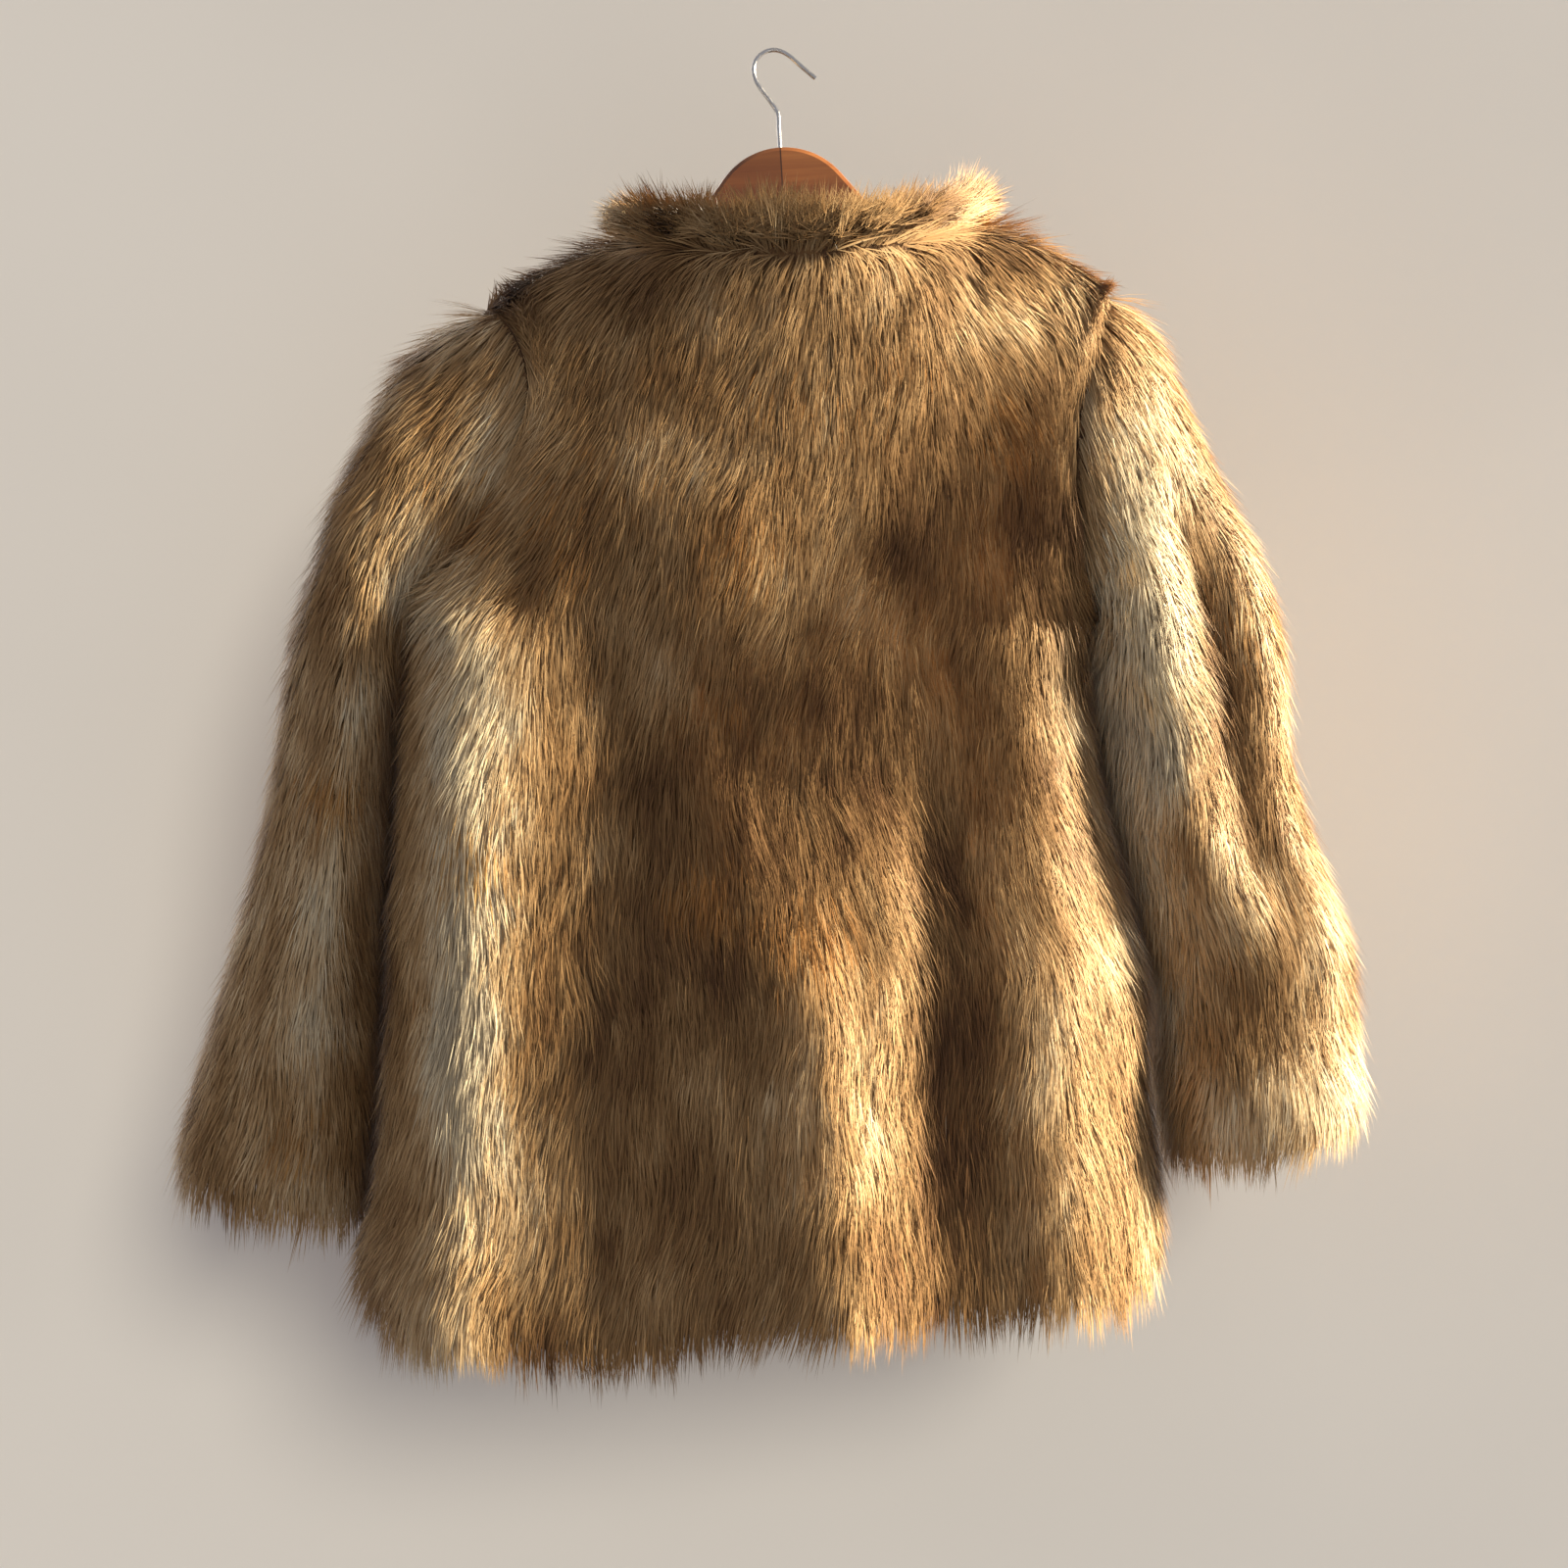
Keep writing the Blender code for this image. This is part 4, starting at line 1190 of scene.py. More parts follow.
@dataclass
class PileTree(NodeSketch):
    """The node tree that sets combed strands on a cloth and makes them one mesh.

    The sizes of its noises are in turns to a metre.
    """

    given: Any = None  # the tree's inputs
    seed_step: float = 17.0
    patch_shape: Vector3 = (1.0, 1.0, 0.62)
    patch_strength: float = 1.30
    streak_size: Vector3 = (300.0, 300.0, 34.0)
    streak_strength: float = 0.62
    own_strength: float = 0.07
    top_tone: float = 0.999
    rust_moved: Vector3 = (3.1, 5.7, 1.3)  # away from the patches of shade
    rust_size: float = 0.55  # beside the size of the patches of shade
    rust: Span = (0.56, 0.84)
    rust_lots: Span = (0.10, 1.0)
    sway_size: float = 19.0
    sway_gain: float = 3.2
    calm: float = 4.0  # how few of the strands stand up far
    tufts: float = 62.0
    tuft_lift: float = 0.7
    tuft_lifted: Span = (0.36, 0.64)
    lift_lots: Span = (0.1, 0.5)
    tuft_long: Span = (0.34, 0.66)
    tuft_reach: Span = (-1.0, 3.0)
    widths: Span = (0.70, 1.30)
    lengths: Span = (0.72, 1.18)
    heights: Span = (0.55, 1.25)
    taper: float = 2.2
    lock_bend: float = 1.5
    roundness: float = 0.3  # how far a strand's sides turn away, as a round hair's do
    ruffle: float = 0.32  # how far the locks' shading leans this way and that
    ruffle_size: float = 0.6  # beside the size of the streaks
    margins: Point2 = (0.2, 0.01)  # at each side and end of a colour's strip of the map

    def build(self) -> None:
        """Builds the tree, with an input for each size, a seed and a material."""
        inputs = {"Geometry": "NodeSocketGeometry"}
        inputs |= {name: "NodeSocketFloat" for name in ("Strands", *PileStyle().inputs())}
        inputs |= {"Seed": "NodeSocketInt", "Material": "NodeSocketMaterial"}
        face = self.tree.interface
        face.new_socket("Geometry", in_out="OUTPUT", socket_type="NodeSocketGeometry")
        for name, kind in inputs.items():
            face.new_socket(name, in_out="INPUT", socket_type=kind)
        self.given = self.tree.nodes.new("NodeGroupInput").outputs
        values = {
            "Points": self.roots(),
            "Instance": self.strand(),
            "Rotation": self.turned(),
            "Scale": self.random_size(),
        }
        set_in = self.out("GeometryNodeInstanceOnPoints", values)
        real = self.out("GeometryNodeRealizeInstances", {0: set_in})
        mapped = self.mapped(self.drawn_together(real))
        smooth = self.out("GeometryNodeSetShadeSmooth", {0: mapped})
        values = {"Geometry": self.rounded(smooth), "Material": self.given["Material"]}
        dressed = self.out("GeometryNodeSetMaterial", values)
        self.tree.links.new(dressed, self.tree.nodes.new("NodeGroupOutput").inputs[0])

    def read(self, name: str, kind: str = "FLOAT") -> Any:
        """Reads a named attribute."""
        return self.out("GeometryNodeInputNamedAttribute", {"Name": name}, data_type=kind)

    def read_vector(self, name: str) -> Any:
        """Reads a named attribute that is a vector."""
        return self.read(name, "FLOAT_VECTOR")

    def on_strand(self) -> list[Any]:
        """How far a point lies across its strand and along it, each from 0 to 1."""
        return self.add("ShaderNodeSeparateXYZ", {0: self.read_vector("strand")}).outputs[:2]

    def store(self, geometry: Any, name: str, value: Any, **where: str) -> Any:
        """Stores a named attribute."""
        values = {"Geometry": geometry, "Name": name, "Value": value}
        return self.out("GeometryNodeStoreNamedAttribute", values, **where)

    def random(self, low: Any, high: Any, use: int) -> Any:
        """An even random number for each strand, with a seed of its own for each use."""
        seed = self.math("ADD", self.given["Seed"], self.seed_step * use)
        return self.out("FunctionNodeRandomValue", {2: low, 3: high, 8: seed}, data_type="FLOAT")

    def either_way(self, size: str, use: int) -> Any:
        """A random number between less and more than 0 by one of the style's sizes."""
        least = self.math("MULTIPLY", self.given[size], -1.0)
        return self.random(least, self.given[size], use)

    def tuft(self, span: Span) -> Any:
        """How far a strand is in a tuft, from 0 to 1."""
        return self.between(self.noise(self.read_vector("root"), self.tufts), span)

    def roots(self) -> Any:
        """Scatters the roots.

        Returns:
            Points that carry their place and the number of their strand's colour.
        """
        density = self.math("MULTIPLY", self.read("thickness"), self.given["Strands"])
        values = {"Mesh": self.given["Geometry"], "Density": density, "Seed": self.given["Seed"]}
        points = self.out("GeometryNodeDistributePointsOnFaces", values)
        place = self.out("GeometryNodeInputPosition")
        points = self.store(points, "root", place, data_type="FLOAT_VECTOR")
        return self.store(points, "number", self.colour_number(), data_type="FLOAT")

    def colour_number(self) -> Any:
        """Picks each strand's colour.

        Returns:
            The colour's number: its lightness in patches, streaks and strand by strand, with the
            cloth's painted light and shade, and whether it is one of the rusty ones.
        """
        place = self.read_vector("root")
        patch_scale = self.math("DIVIDE", 1.0, self.given["Patch size"])
        long_patches = self.vector("MULTIPLY", place, self.patch_shape)
        patch = self.noise(long_patches, patch_scale, 3.0, 0.62)
        streak = self.noise(self.vector("MULTIPLY", place, self.streak_size), 1.0, 2.0, 0.6)
        # the cloth's colours with their painted light and shade
        tone_and_painted_light = self.read("shade")
        for part, strength in ((patch, self.patch_strength), (streak, self.streak_strength)):
            tone_and_painted_light = self.math("MULTIPLY_ADD", self.math("SUBTRACT", part, 0.5), strength, tone_and_painted_light)
        tone_and_painted_light = self.math("ADD", tone_and_painted_light, self.random(-self.own_strength, self.own_strength, 1))
        tone_and_painted_light = self.out("ShaderNodeClamp", {0: tone_and_painted_light, 1: 0.0, 2: self.top_tone})
        moved = self.vector("ADD", place, self.rust_moved)
        rust = self.noise(moved, self.math("MULTIPLY", patch_scale, self.rust_size))
        rust = self.math("ADD", self.between(rust, self.rust), self.read("rust"))
        is_rust = self.math("GREATER_THAN", rust, self.random(*self.rust_lots, 2))
        main = self.math("FLOOR", self.math("MULTIPLY", tone_and_painted_light, RUST_FROM))
        rusty = self.math("FLOOR", self.math("MULTIPLY", tone_and_painted_light, COLOURS - RUST_FROM))
        step = self.math("SUBTRACT", self.math("ADD", rusty, RUST_FROM), main)
        return self.math("MULTIPLY_ADD", is_rust, step, main)

    def turned(self) -> Any:
        """Turns each strand.

        Returns:
            Its turn: along the comb, out of the cloth, then a little astray, up and over.
        """
        axes = {0: self.read_vector("up"), 1: self.read_vector("comb")}
        turn = self.out("FunctionNodeAxesToRotation", axes, primary_axis="Z", secondary_axis="Y")
        sway = self.math("MULTIPLY", self.given["Sway"], self.sway_gain)
        wander = self.noise(self.read_vector("root"), self.sway_size)
        swayed = self.math("MULTIPLY", self.math("SUBTRACT", wander, 0.5), sway)
        astray = self.math("ADD", swayed, self.either_way("Stray", 3))
        rolled = self.either_way("Roll", 4)
        lot = self.math("POWER", self.random(0.0, 1.0, 5), self.calm)
        lifted = self.math("MULTIPLY", lot, self.given["Lift"])
        tousled = self.random(*self.lift_lots, 9)
        tousled = self.math("MULTIPLY_ADD", self.tuft(self.tuft_lifted), self.tuft_lift, tousled)
        lifted = self.math("MULTIPLY_ADD", tousled, self.read("ruffled"), lifted)
        for axis, degrees in (((0, 0, 1), astray), ((1, 0, 0), lifted), ((0, 1, 0), rolled)):
            values = {"Axis": axis, "Angle": self.math("RADIANS", degrees)}
            step = self.out("FunctionNodeAxisAngleToRotation", values)
            values = {"Rotation": turn, "Rotate By": step}
            turn = self.out("FunctionNodeRotateRotation", values, rotation_space="LOCAL")
        return turn

    def random_size(self) -> Any:
        """Sizes each strand.

        Returns:
            The share of the style's width, length and height that it has.
        """
        uneven = self.within(self.tuft(self.tuft_long), self.tuft_reach)
        beyond = self.math("SUBTRACT", self.read("reach"), 1.0)
        reach = self.math("MULTIPLY_ADD", beyond, uneven, 1.0)
        wide = self.random(*self.widths, 6)
        long = self.math("MULTIPLY", self.random(*self.lengths, 7), reach)
        high = self.math("MULTIPLY", self.random(*self.heights, 8), self.read("loft"))
        return self.out("ShaderNodeCombineXYZ", {0: wide, 1: long, 2: high})

    def strand(self) -> Any:
        """Makes one strand.

        Returns:
            A strip of three triangles that rises, lies over and ends in a tip.
        """
        values = {"Size X": 1.0, "Size Y": 1.0, "Vertices X": 2, "Vertices Y": 3}
        strip = self.out("GeometryNodeMeshGrid", values)
        place = self.vector("ADD", self.out("GeometryNodeInputPosition"), (0.5, 0.5, 0))
        strip = self.store(strip, "strand", place, data_type="FLOAT_VECTOR")
        across, along = self.on_strand()
        narrowed = self.math("SUBTRACT", 1.0, self.math("POWER", along, self.taper))
        left = self.math("SUBTRACT", 1.0, along)
        rise = self.math("SUBTRACT", 1.0, self.math("MULTIPLY", left, left))
        x = self.math("MULTIPLY", self.math("SUBTRACT", across, 0.5), narrowed)
        x = self.math("MULTIPLY", x, self.given["Width"])
        y = self.math("MULTIPLY", along, self.given["Length"])
        z = self.math("MULTIPLY", rise, self.given["Height"])
        place = self.out("ShaderNodeCombineXYZ", {0: x, 1: y, 2: z})
        strip = self.out("GeometryNodeSetPosition", {"Geometry": strip, "Position": place})
        return self.out("GeometryNodeMergeByDistance", {"Geometry": strip, "Distance": 1e-6})

    def drawn_together(self, strands: Any) -> Any:
        """Draws the tips of neighbouring strands together into locks, along the cloth.

        Args:
            strands: The strands' mesh.

        Returns:
            The mesh with its locks.
        """
        place = self.read_vector("root")
        up = self.read_vector("up")
        scale = self.math("DIVIDE", 1.0, self.given["Lock size"])
        cells = self.add("ShaderNodeTexVoronoi", {"Vector": place, "Scale": scale})
        to_lock = self.vector("SUBTRACT", cells.outputs["Position"], place)
        dot = self.add("ShaderNodeVectorMath", {0: to_lock, 1: up}, operation="DOT_PRODUCT")
        along_cloth = self.vector("SUBTRACT", to_lock, self.scaled(up, dot.outputs["Value"]))
        bend = self.math("POWER", self.on_strand()[1], self.lock_bend)
        offset = self.scaled(along_cloth, self.math("MULTIPLY", bend, self.given["Lock pull"]))
        return self.out("GeometryNodeSetPosition", {"Geometry": strands, "Offset": offset})

    def rounded(self, strands: Any) -> Any:
        """Turns the strands' normals to the cloth's, rounded across each strand.

        A strand is a flat strip, but it then takes the light as a round hair on that cloth does,
        and neighbours in a lock lean alike.

        Args:
            strands: The strands' mesh.

        Returns:
            The mesh with its own normals.
        """
        up = self.read_vector("up")
        sideways = self.vector("CROSS_PRODUCT", self.read_vector("comb"), up)
        off_middle = self.math("SUBTRACT", self.on_strand()[0], 0.5)
        turn = self.math("MULTIPLY", off_middle, 2 * self.roundness)
        place = self.vector("MULTIPLY", self.read_vector("root"), self.streak_size)
        values = {"Vector": place, "Scale": self.ruffle_size, "Detail": 2.0}
        lean = self.add("ShaderNodeTexNoise", values).outputs["Color"]
        lean = self.vector("SUBTRACT", lean, (0.5, 0.5, 0.5))
        normal = self.vector("ADD", up, self.scaled(sideways, turn))
        normal = self.vector("ADD", normal, self.scaled(lean, 2 * self.ruffle))
        values = {"Mesh": strands, "Custom Normal": self.vector("NORMALIZE", normal)}
        return self.out("GeometryNodeSetMeshNormal", values, mode="FREE", domain="POINT")

    def mapped(self, strands: Any) -> Any:
        """Lays each strand on its own colour's strip of the pile's map.

        Args:
            strands: The strands' mesh.

        Returns:
            The mesh with its map.
        """
        across, along = self.on_strand()
        side, end = self.margins
        place = self.math("ADD", self.read("number"), self.within(across, (side, 1 - side)))
        share = self.math("DIVIDE", place, float(COLOURS))
        along = self.within(along, (end, 1 - end))
        both = self.out("ShaderNodeCombineXYZ", {0: share, 1: along})
        return self.store(strands, PILE_MAP, both, data_type="FLOAT2", domain="CORNER")


# ---------------------------------------------------------------------------------------------
# Cloth
# ---------------------------------------------------------------------------------------------


def new_object(name: str, mesh: bpy.types.Mesh) -> bpy.types.Object:
    """Links a new object at the origin.

    Args:
        name: Its name.
        mesh: Its mesh.

    Returns:
        The object.
    """
    made = bpy.data.objects.new(name, mesh)
    bpy.context.scene.collection.objects.link(made)
    return made


def new_mesh(name: str, points: np.ndarray, faces: np.ndarray) -> bpy.types.Mesh:
    """Makes a mesh.

    Args:
        name: Its name.
        points: Its points, in a list or a grid of any shape.
        faces: The numbers of each face's points.

    Returns:
        The mesh.
    """
    mesh = bpy.data.meshes.new(name)
    mesh.from_pydata(points.reshape(-1, 3).tolist(), [], faces.tolist())
    return mesh


def grid_quads(rows: int, columns: int, closed: bool) -> np.ndarray:
    """Numbers the quads of a grid of points.

    Args:
        rows: How many rows the grid has.
        columns: How many points a row has.
        closed: Whether each row is a ring.

    Returns:
        The numbers of each quad's corners, row by row.
    """
    last = columns if closed else columns - 1
    row, column = np.meshgrid(np.arange(rows - 1), np.arange(last), indexing="ij")
    beside = (column + 1) % columns
    corners = (
        row * columns + column,
        row * columns + beside,
        (row + 1) * columns + beside,
        (row + 1) * columns + column,
    )
    return np.stack([corner.ravel() for corner in corners], axis=-1)


def point_key(point: np.ndarray) -> tuple[float, ...]:
    """What a point is looked up by, so that pieces find the points that they share."""
    return tuple(np.round(point, 6))


def unit(vectors: np.ndarray) -> np.ndarray:
    """The same directions with a length of 1."""
    return vectors / np.maximum(np.linalg.norm(vectors, axis=-1, keepdims=True), 1e-12)


def with_spots(spots: Spots, points: np.ndarray, value: Any, sharpness: float = 1.0) -> Any:
    """Adds each spot's share at the points to a value."""
    return sum((spot.share(points, sharpness) for spot in spots), value)


DOWN = np.array((0.0, 0.0, -1.0))
SIDEWAYS = np.array((1.0, 0.0, 0.0))
NECK_MIDDLE = (0.017, -0.110)  # x and z
NECK_REACH = 0.110  # how far the neck seam runs on each side of its middle
NECK_SHARPNESS = 6
SHOULDER_REACH = 0.14  # how far from the neck's middle the comb turns fully outwards
SWEEP_REACH = 0.05  # how near an armhole it turns down again
ARMHOLE_REACH = 0.011  # how far from its seam an armhole draws the cloth in
ARMHOLE_SHARPNESS = 8  # of its end at the underarm, in rows
EDGE_SHARE = 0.05  # the share of a piece's rows that are near its edge
PARTING = 0.35  # where the pile beside the neck seam parts, from the other rows to the seam
PARTING_WANDER = 0.12
PARTING_WAVES = (97, 231)  # of its wander, in radians to a metre
PARTING_SOFTNESS = 0.2
SPOT_SHARPNESS = 2.0  # of a shade or a loft, which has an edge
RELIEF_COLUMNS = 9  # how many columns on each side a point's relief is measured over
SHARP_EDGE = math.radians(60)


class PaintedShadeAndTone(NamedTuple):
    """How much paler the pile is, in shares of the colours' range: painted light on ridges,
    painted shade in valleys and along the armholes, and darker loose edges.
    """

    # painted light on ridges and painted shade in valleys
    relief: float = 14.0  # for each metre of relief
    loose_edge: float = -0.12
    # painted shade along the armhole seams
    armhole: float = -0.04


class Changes(NamedTuple):
    """How much more of a size the pile has in some places, as shares of it."""

    loose_edge: float = 0.0
    fixed_edge: float = 0.0
    neck: float = 0.0
    armpit: float = 0.0
    armhole: float = 0.0


PAINTED_SHADE_AND_TONE = PaintedShadeAndTone()
LOFTS = Changes(fixed_edge=-0.6, neck=1.1, armpit=0.9, armhole=-0.2)
THICKNESSES = Changes(loose_edge=0.6, fixed_edge=0.3)
REACHES = Changes(loose_edge=0.10)


@dataclass
class ClothPiece:
    """One cut piece: a thin backing on its solid's form, with pile combed over it."""

    node: str
    outer: np.ndarray  # the pile's outer surface
    moved: Vector3
    flat: Point2
    area: float
    stretches: tuple[tuple[int, int, int], ...]  # columns from and to, and how many strands
    closed: bool = False
    faces_out: int = 1
    comb: Comb = Comb.DOWN_THE_ROWS
    style: PileStyle = field(default_factory=PileStyle)
    patches: Patches = Patches()
    edge_gaps: tuple[tuple[int, float], ...] = ()  # how far a column moves along X
    side_sweep: float = 0.0  # how far the comb turns outwards at the shoulders
    hang: float = 0.0  # how far the comb turns straight down
    shade: float = 0.52
    ruffled: float = 0.0  # how far the pile is lifted at the neck seam, in degrees
    ruffled_all: bool = False  # whether it is lifted all over
    armhole_columns: tuple[int, ...] = ()  # the edges that have an armhole at their top
    inset: float = 0.0070  # of the backing's outer side below the pile's surface
    thickness: float = 0.0030
    normals: np.ndarray | None = None

    def settled(self, depth: float) -> np.ndarray:
        """Places the piece's points.

        Args:
            depth: How far they lie below the pile's surface.

        Returns:
            The points, moved away from the pieces beside them.
        """
        points = self.outer - self.normals * depth
        for column, shift in self.edge_gaps:
            points[:, column, 0] += shift
        return points + np.array(self.moved)

    def measures(self) -> tuple[float, float, float]:
        """Measures the backing.

        Returns:
            Its greatest width and length, and its area.
        """
        points = self.settled(self.inset + self.thickness / 2)
        ring = np.concatenate([points, points[:, :1]], axis=1) if self.closed else points
        width = np.linalg.norm(np.diff(ring, axis=1), axis=2).sum(axis=1).max()
        length = np.linalg.norm(np.diff(points, axis=0), axis=2).sum(axis=0).max()
        flat = points.reshape(-1, 3)
        quads = flat[grid_quads(*points.shape[:2], self.closed)]
        crossed = np.cross(quads[:, 2] - quads[:, 0], quads[:, 3] - quads[:, 1])
        return width, length, np.linalg.norm(crossed, axis=1).sum() / 2

    def rims(self, numbers: np.ndarray) -> list[np.ndarray]:
        """Finds the piece's free edges.

        Args:
            numbers: The number of each of its points.

        Returns:
            The numbers along each edge.
        """
        ring = np.append(numbers, numbers[:, :1], axis=1) if self.closed else numbers
        rims = [ring[0], ring[-1][::-1]]
        if not self.closed:
            rims += [numbers[::-1, 0], numbers[:, -1]]
        return [rim[::-1] if self.faces_out > 0 else rim for rim in rims]

    def backing(self, underfur: bpy.types.Material, knit: bpy.types.Material) -> bpy.types.Object:
        """Makes the backing, a closed wall.

        Args:
            underfur: The finish of its outer side.
            knit: The finish of its inner side.

        Returns:
            The backing's object.
        """
        outer = self.settled(self.inset)
        inner = self.settled(self.inset + self.thickness)
        rows, columns = outer.shape[:2]
        count = rows * columns
        quads = grid_quads(rows, columns, self.closed)
        if self.faces_out < 0:
            quads = quads[:, ::-1]
        edges = [
            np.stack([rim[:-1], rim[1:], rim[1:] + count, rim[:-1] + count], axis=-1)
            for rim in self.rims(np.arange(count).reshape(rows, columns))
        ]
        faces = np.concatenate([quads, quads[:, ::-1] + count, *edges])
        mesh = new_mesh(f"{self.node}_cloth", np.concatenate([outer, inner]), faces)
        mesh.materials.append(underfur)
        mesh.materials.append(knit)
        slots = np.zeros(len(faces), dtype=np.int32)
        slots[len(quads) : 2 * len(quads)] = 1
        mesh.polygons.foreach_set("material_index", slots)
        self.map_cut(mesh)
        mesh.shade_smooth()
        mesh.set_sharp_from_angle(angle=SHARP_EDGE)
        return new_object(mesh.name, mesh)

    def map_cut(self, mesh: bpy.types.Mesh) -> None:
        """Gives the backing its map.

        Args:
            mesh: The backing's mesh. Its map runs across and along the cut.
        """
        rows, columns = self.outer.shape[:2]
        corners = np.empty(len(mesh.loops), dtype=np.int32)
        mesh.loops.foreach_get("vertex_index", corners)
        corners %= rows * columns
        across = (corners % columns) / columns
        along = (corners // columns) / (rows - 1)
        layer = mesh.uv_layers.new(name=CUT_MAP)
        layer.data.foreach_set("uv", np.stack([across, along], axis=-1).ravel().astype(np.float32))

    def off_column(self, column: int) -> np.ndarray:
        """How far each point lies from its row's point in a column."""
        return np.linalg.norm(self.outer - self.outer[:, column : column + 1 or None], axis=-1)

    def by_neck(self) -> np.ndarray:
        """How near each point is to the middle of the neck, across the body, from 0 to 1."""
        return np.exp(-(((self.outer[..., 0] - NECK_MIDDLE[0]) / NECK_REACH) ** NECK_SHARPNESS))

    def near_edges(self) -> tuple[np.ndarray, np.ndarray]:
        """Finds the rows at the piece's upper and lower edges.

        Returns:
            How near each point is to the loose edge, which the pile runs off, and to the other
            one, from 0 to 1.
        """
        rows, columns = self.outer.shape[:2]
        run = np.linspace(0, 1, rows)[:, None] * np.ones((1, columns))
        off_edge = run if self.comb is Comb.UP_THE_ROWS else 1 - run
        loose, fixed = (np.clip(1 - off / EDGE_SHARE, 0, 1) for off in (1 - off_edge, off_edge))
        return loose, fixed

    def near_armholes(self) -> np.ndarray:
        """Finds the armholes' seams.

        Returns:
            How near each point is to one, from 0 to 1.
        """
        if self.closed:
            apart = np.linalg.norm(self.outer - self.outer[:1], axis=-1)
            return np.exp(-((apart / ARMHOLE_REACH) ** 2))
        near = np.zeros(self.outer.shape[:2])
        for column in self.armhole_columns:
            beside = np.exp(-((self.off_column(column) / ARMHOLE_REACH) ** 2))
            beside[:LOWER_ROWS] *= np.linspace(0, 1, LOWER_ROWS)[:, None] ** ARMHOLE_SHARPNESS
            near = np.maximum(near, beside)
        return near

    def parted(self) -> np.ndarray:
        """Finds where the pile beside the neck seam is combed up instead of down.

        Returns:
            How far it is combed up at each point, from 0 to 1.
        """
        x = self.outer[..., 0]
        slow, quick = PARTING_WAVES
        uneven = np.sin(slow * x) + np.sin(quick * x + 1)
        past = self.near_edges()[1] - PARTING + PARTING_WANDER * uneven
        return smooth_step(past / PARTING_SOFTNESS) * self.by_neck()

    def comb_directions(self) -> np.ndarray:
        """Combs the pile.

        Returns:
            Its direction at each point, along the cloth.
        """
        along = unit(np.gradient(self.outer, axis=0) * self.comb.value)
        down = DOWN - self.normals * (self.normals @ DOWN)[..., None]
        if self.node != "collar":
            along *= 1 - 2 * self.parted()[..., None]
        combed = along + self.hang * down
        if self.side_sweep:
            z_seam = self.outer[LOWER_ROWS, :, 2].mean()
            rise = np.clip((self.outer[..., 2] - z_seam) / (NECK_MIDDLE[1] - z_seam), 0, 1)
            part = np.clip((self.outer[..., 0] - NECK_MIDDLE[0]) / SHOULDER_REACH, -1, 1)
            sideways = unit(np.gradient(self.outer, axis=1))
            sweep = self.side_sweep * rise**2 * part
            for column in self.armhole_columns:
                sweep = sweep * np.clip(self.off_column(column) / SWEEP_REACH, 0, 1)
            combed = combed + sideways * sweep[..., None]
        return unit(combed)

    def relief(self) -> np.ndarray:
        """Measures the folds.

        Returns:
            How far each point stands out of the cloth on both sides of it, in metres.
        """
        half = RELIEF_COLUMNS
        how = {"mode": "wrap"} if self.closed else {"mode": "reflect", "reflect_type": "odd"}
        wide = np.pad(self.outer, ((0, 0), (half, half), (0, 0)), **how)
        columns = self.outer.shape[1]
        shifted = [wide[:, first : first + columns] for first in range(2 * half + 1)]
        return ((self.outer - np.mean(shifted, axis=0)) * self.normals).sum(axis=-1)

    def fields(self) -> dict[str, np.ndarray]:
        """Finds how the pile grows.

        Returns:
            What each strand reads from the cloth, by name: a number or a vector for each point.
        """
        loose, fixed = self.near_edges()
        armhole = self.near_armholes()
        neck = self.by_neck()
        none = np.zeros(self.outer.shape[:2])
        # the pile's lightness, with painted light on ridges, painted shade in valleys and along
        # the armholes, and darker loose edges
        shade = self.shade + PAINTED_SHADE_AND_TONE.loose_edge * loose + PAINTED_SHADE_AND_TONE.relief * self.relief()
        shade = shade + PAINTED_SHADE_AND_TONE.armhole * armhole
        lean = with_spots(self.patches.lean, self.outer, none)
        armpit = with_spots(ARMPITS, self.outer, none)
        loft = 1 + fixed * (LOFTS.neck * neck + LOFTS.fixed_edge) + LOFTS.armpit * armpit
        loft = loft * (1 + LOFTS.armhole * armhole)
        return {
            "comb": self.comb_directions(),
            "up": unit(self.normals + lean[..., None] * SIDEWAYS),
            "thickness": 1 + THICKNESSES.loose_edge * loose + THICKNESSES.fixed_edge * fixed,
            "reach": 1 + REACHES.loose_edge * loose,
            "loft": with_spots(self.patches.loft, self.outer, loft, SPOT_SHARPNESS),
            "ruffled": self.ruffled * np.where(self.ruffled_all, 1, fixed * neck),
            # painted light and painted shade in patches
            "shade": with_spots(self.patches.shade, self.outer, shade, SPOT_SHARPNESS),
            "rust": with_spots(self.patches.rust, self.outer, none),
        }

    def scalp(self, first: int, last: int) -> bpy.types.Object:
        """Makes the cloth that one stretch of pile grows on.

        Args:
            first: The stretch's first column of points.
            last: Its last column.

        Returns:
            A new object, with the stretch's surface as its mesh and its fields on its points.
        """
        chosen = np.arange(first, last + 1) % self.outer.shape[1]
        points = self.settled(self.inset)[:, chosen]
        mesh = new_mesh(f"{self.node}_scalp", points, grid_quads(*points.shape[:2], False))
        for name, values in self.fields().items():
            values = values[:, chosen].astype(np.float32)
            kind, place = ("FLOAT_VECTOR", "vector") if values.ndim == 3 else ("FLOAT", "value")
            mesh.attributes.new(name, kind, "POINT").data.foreach_set(place, values.ravel())
        return new_object(mesh.name, mesh)

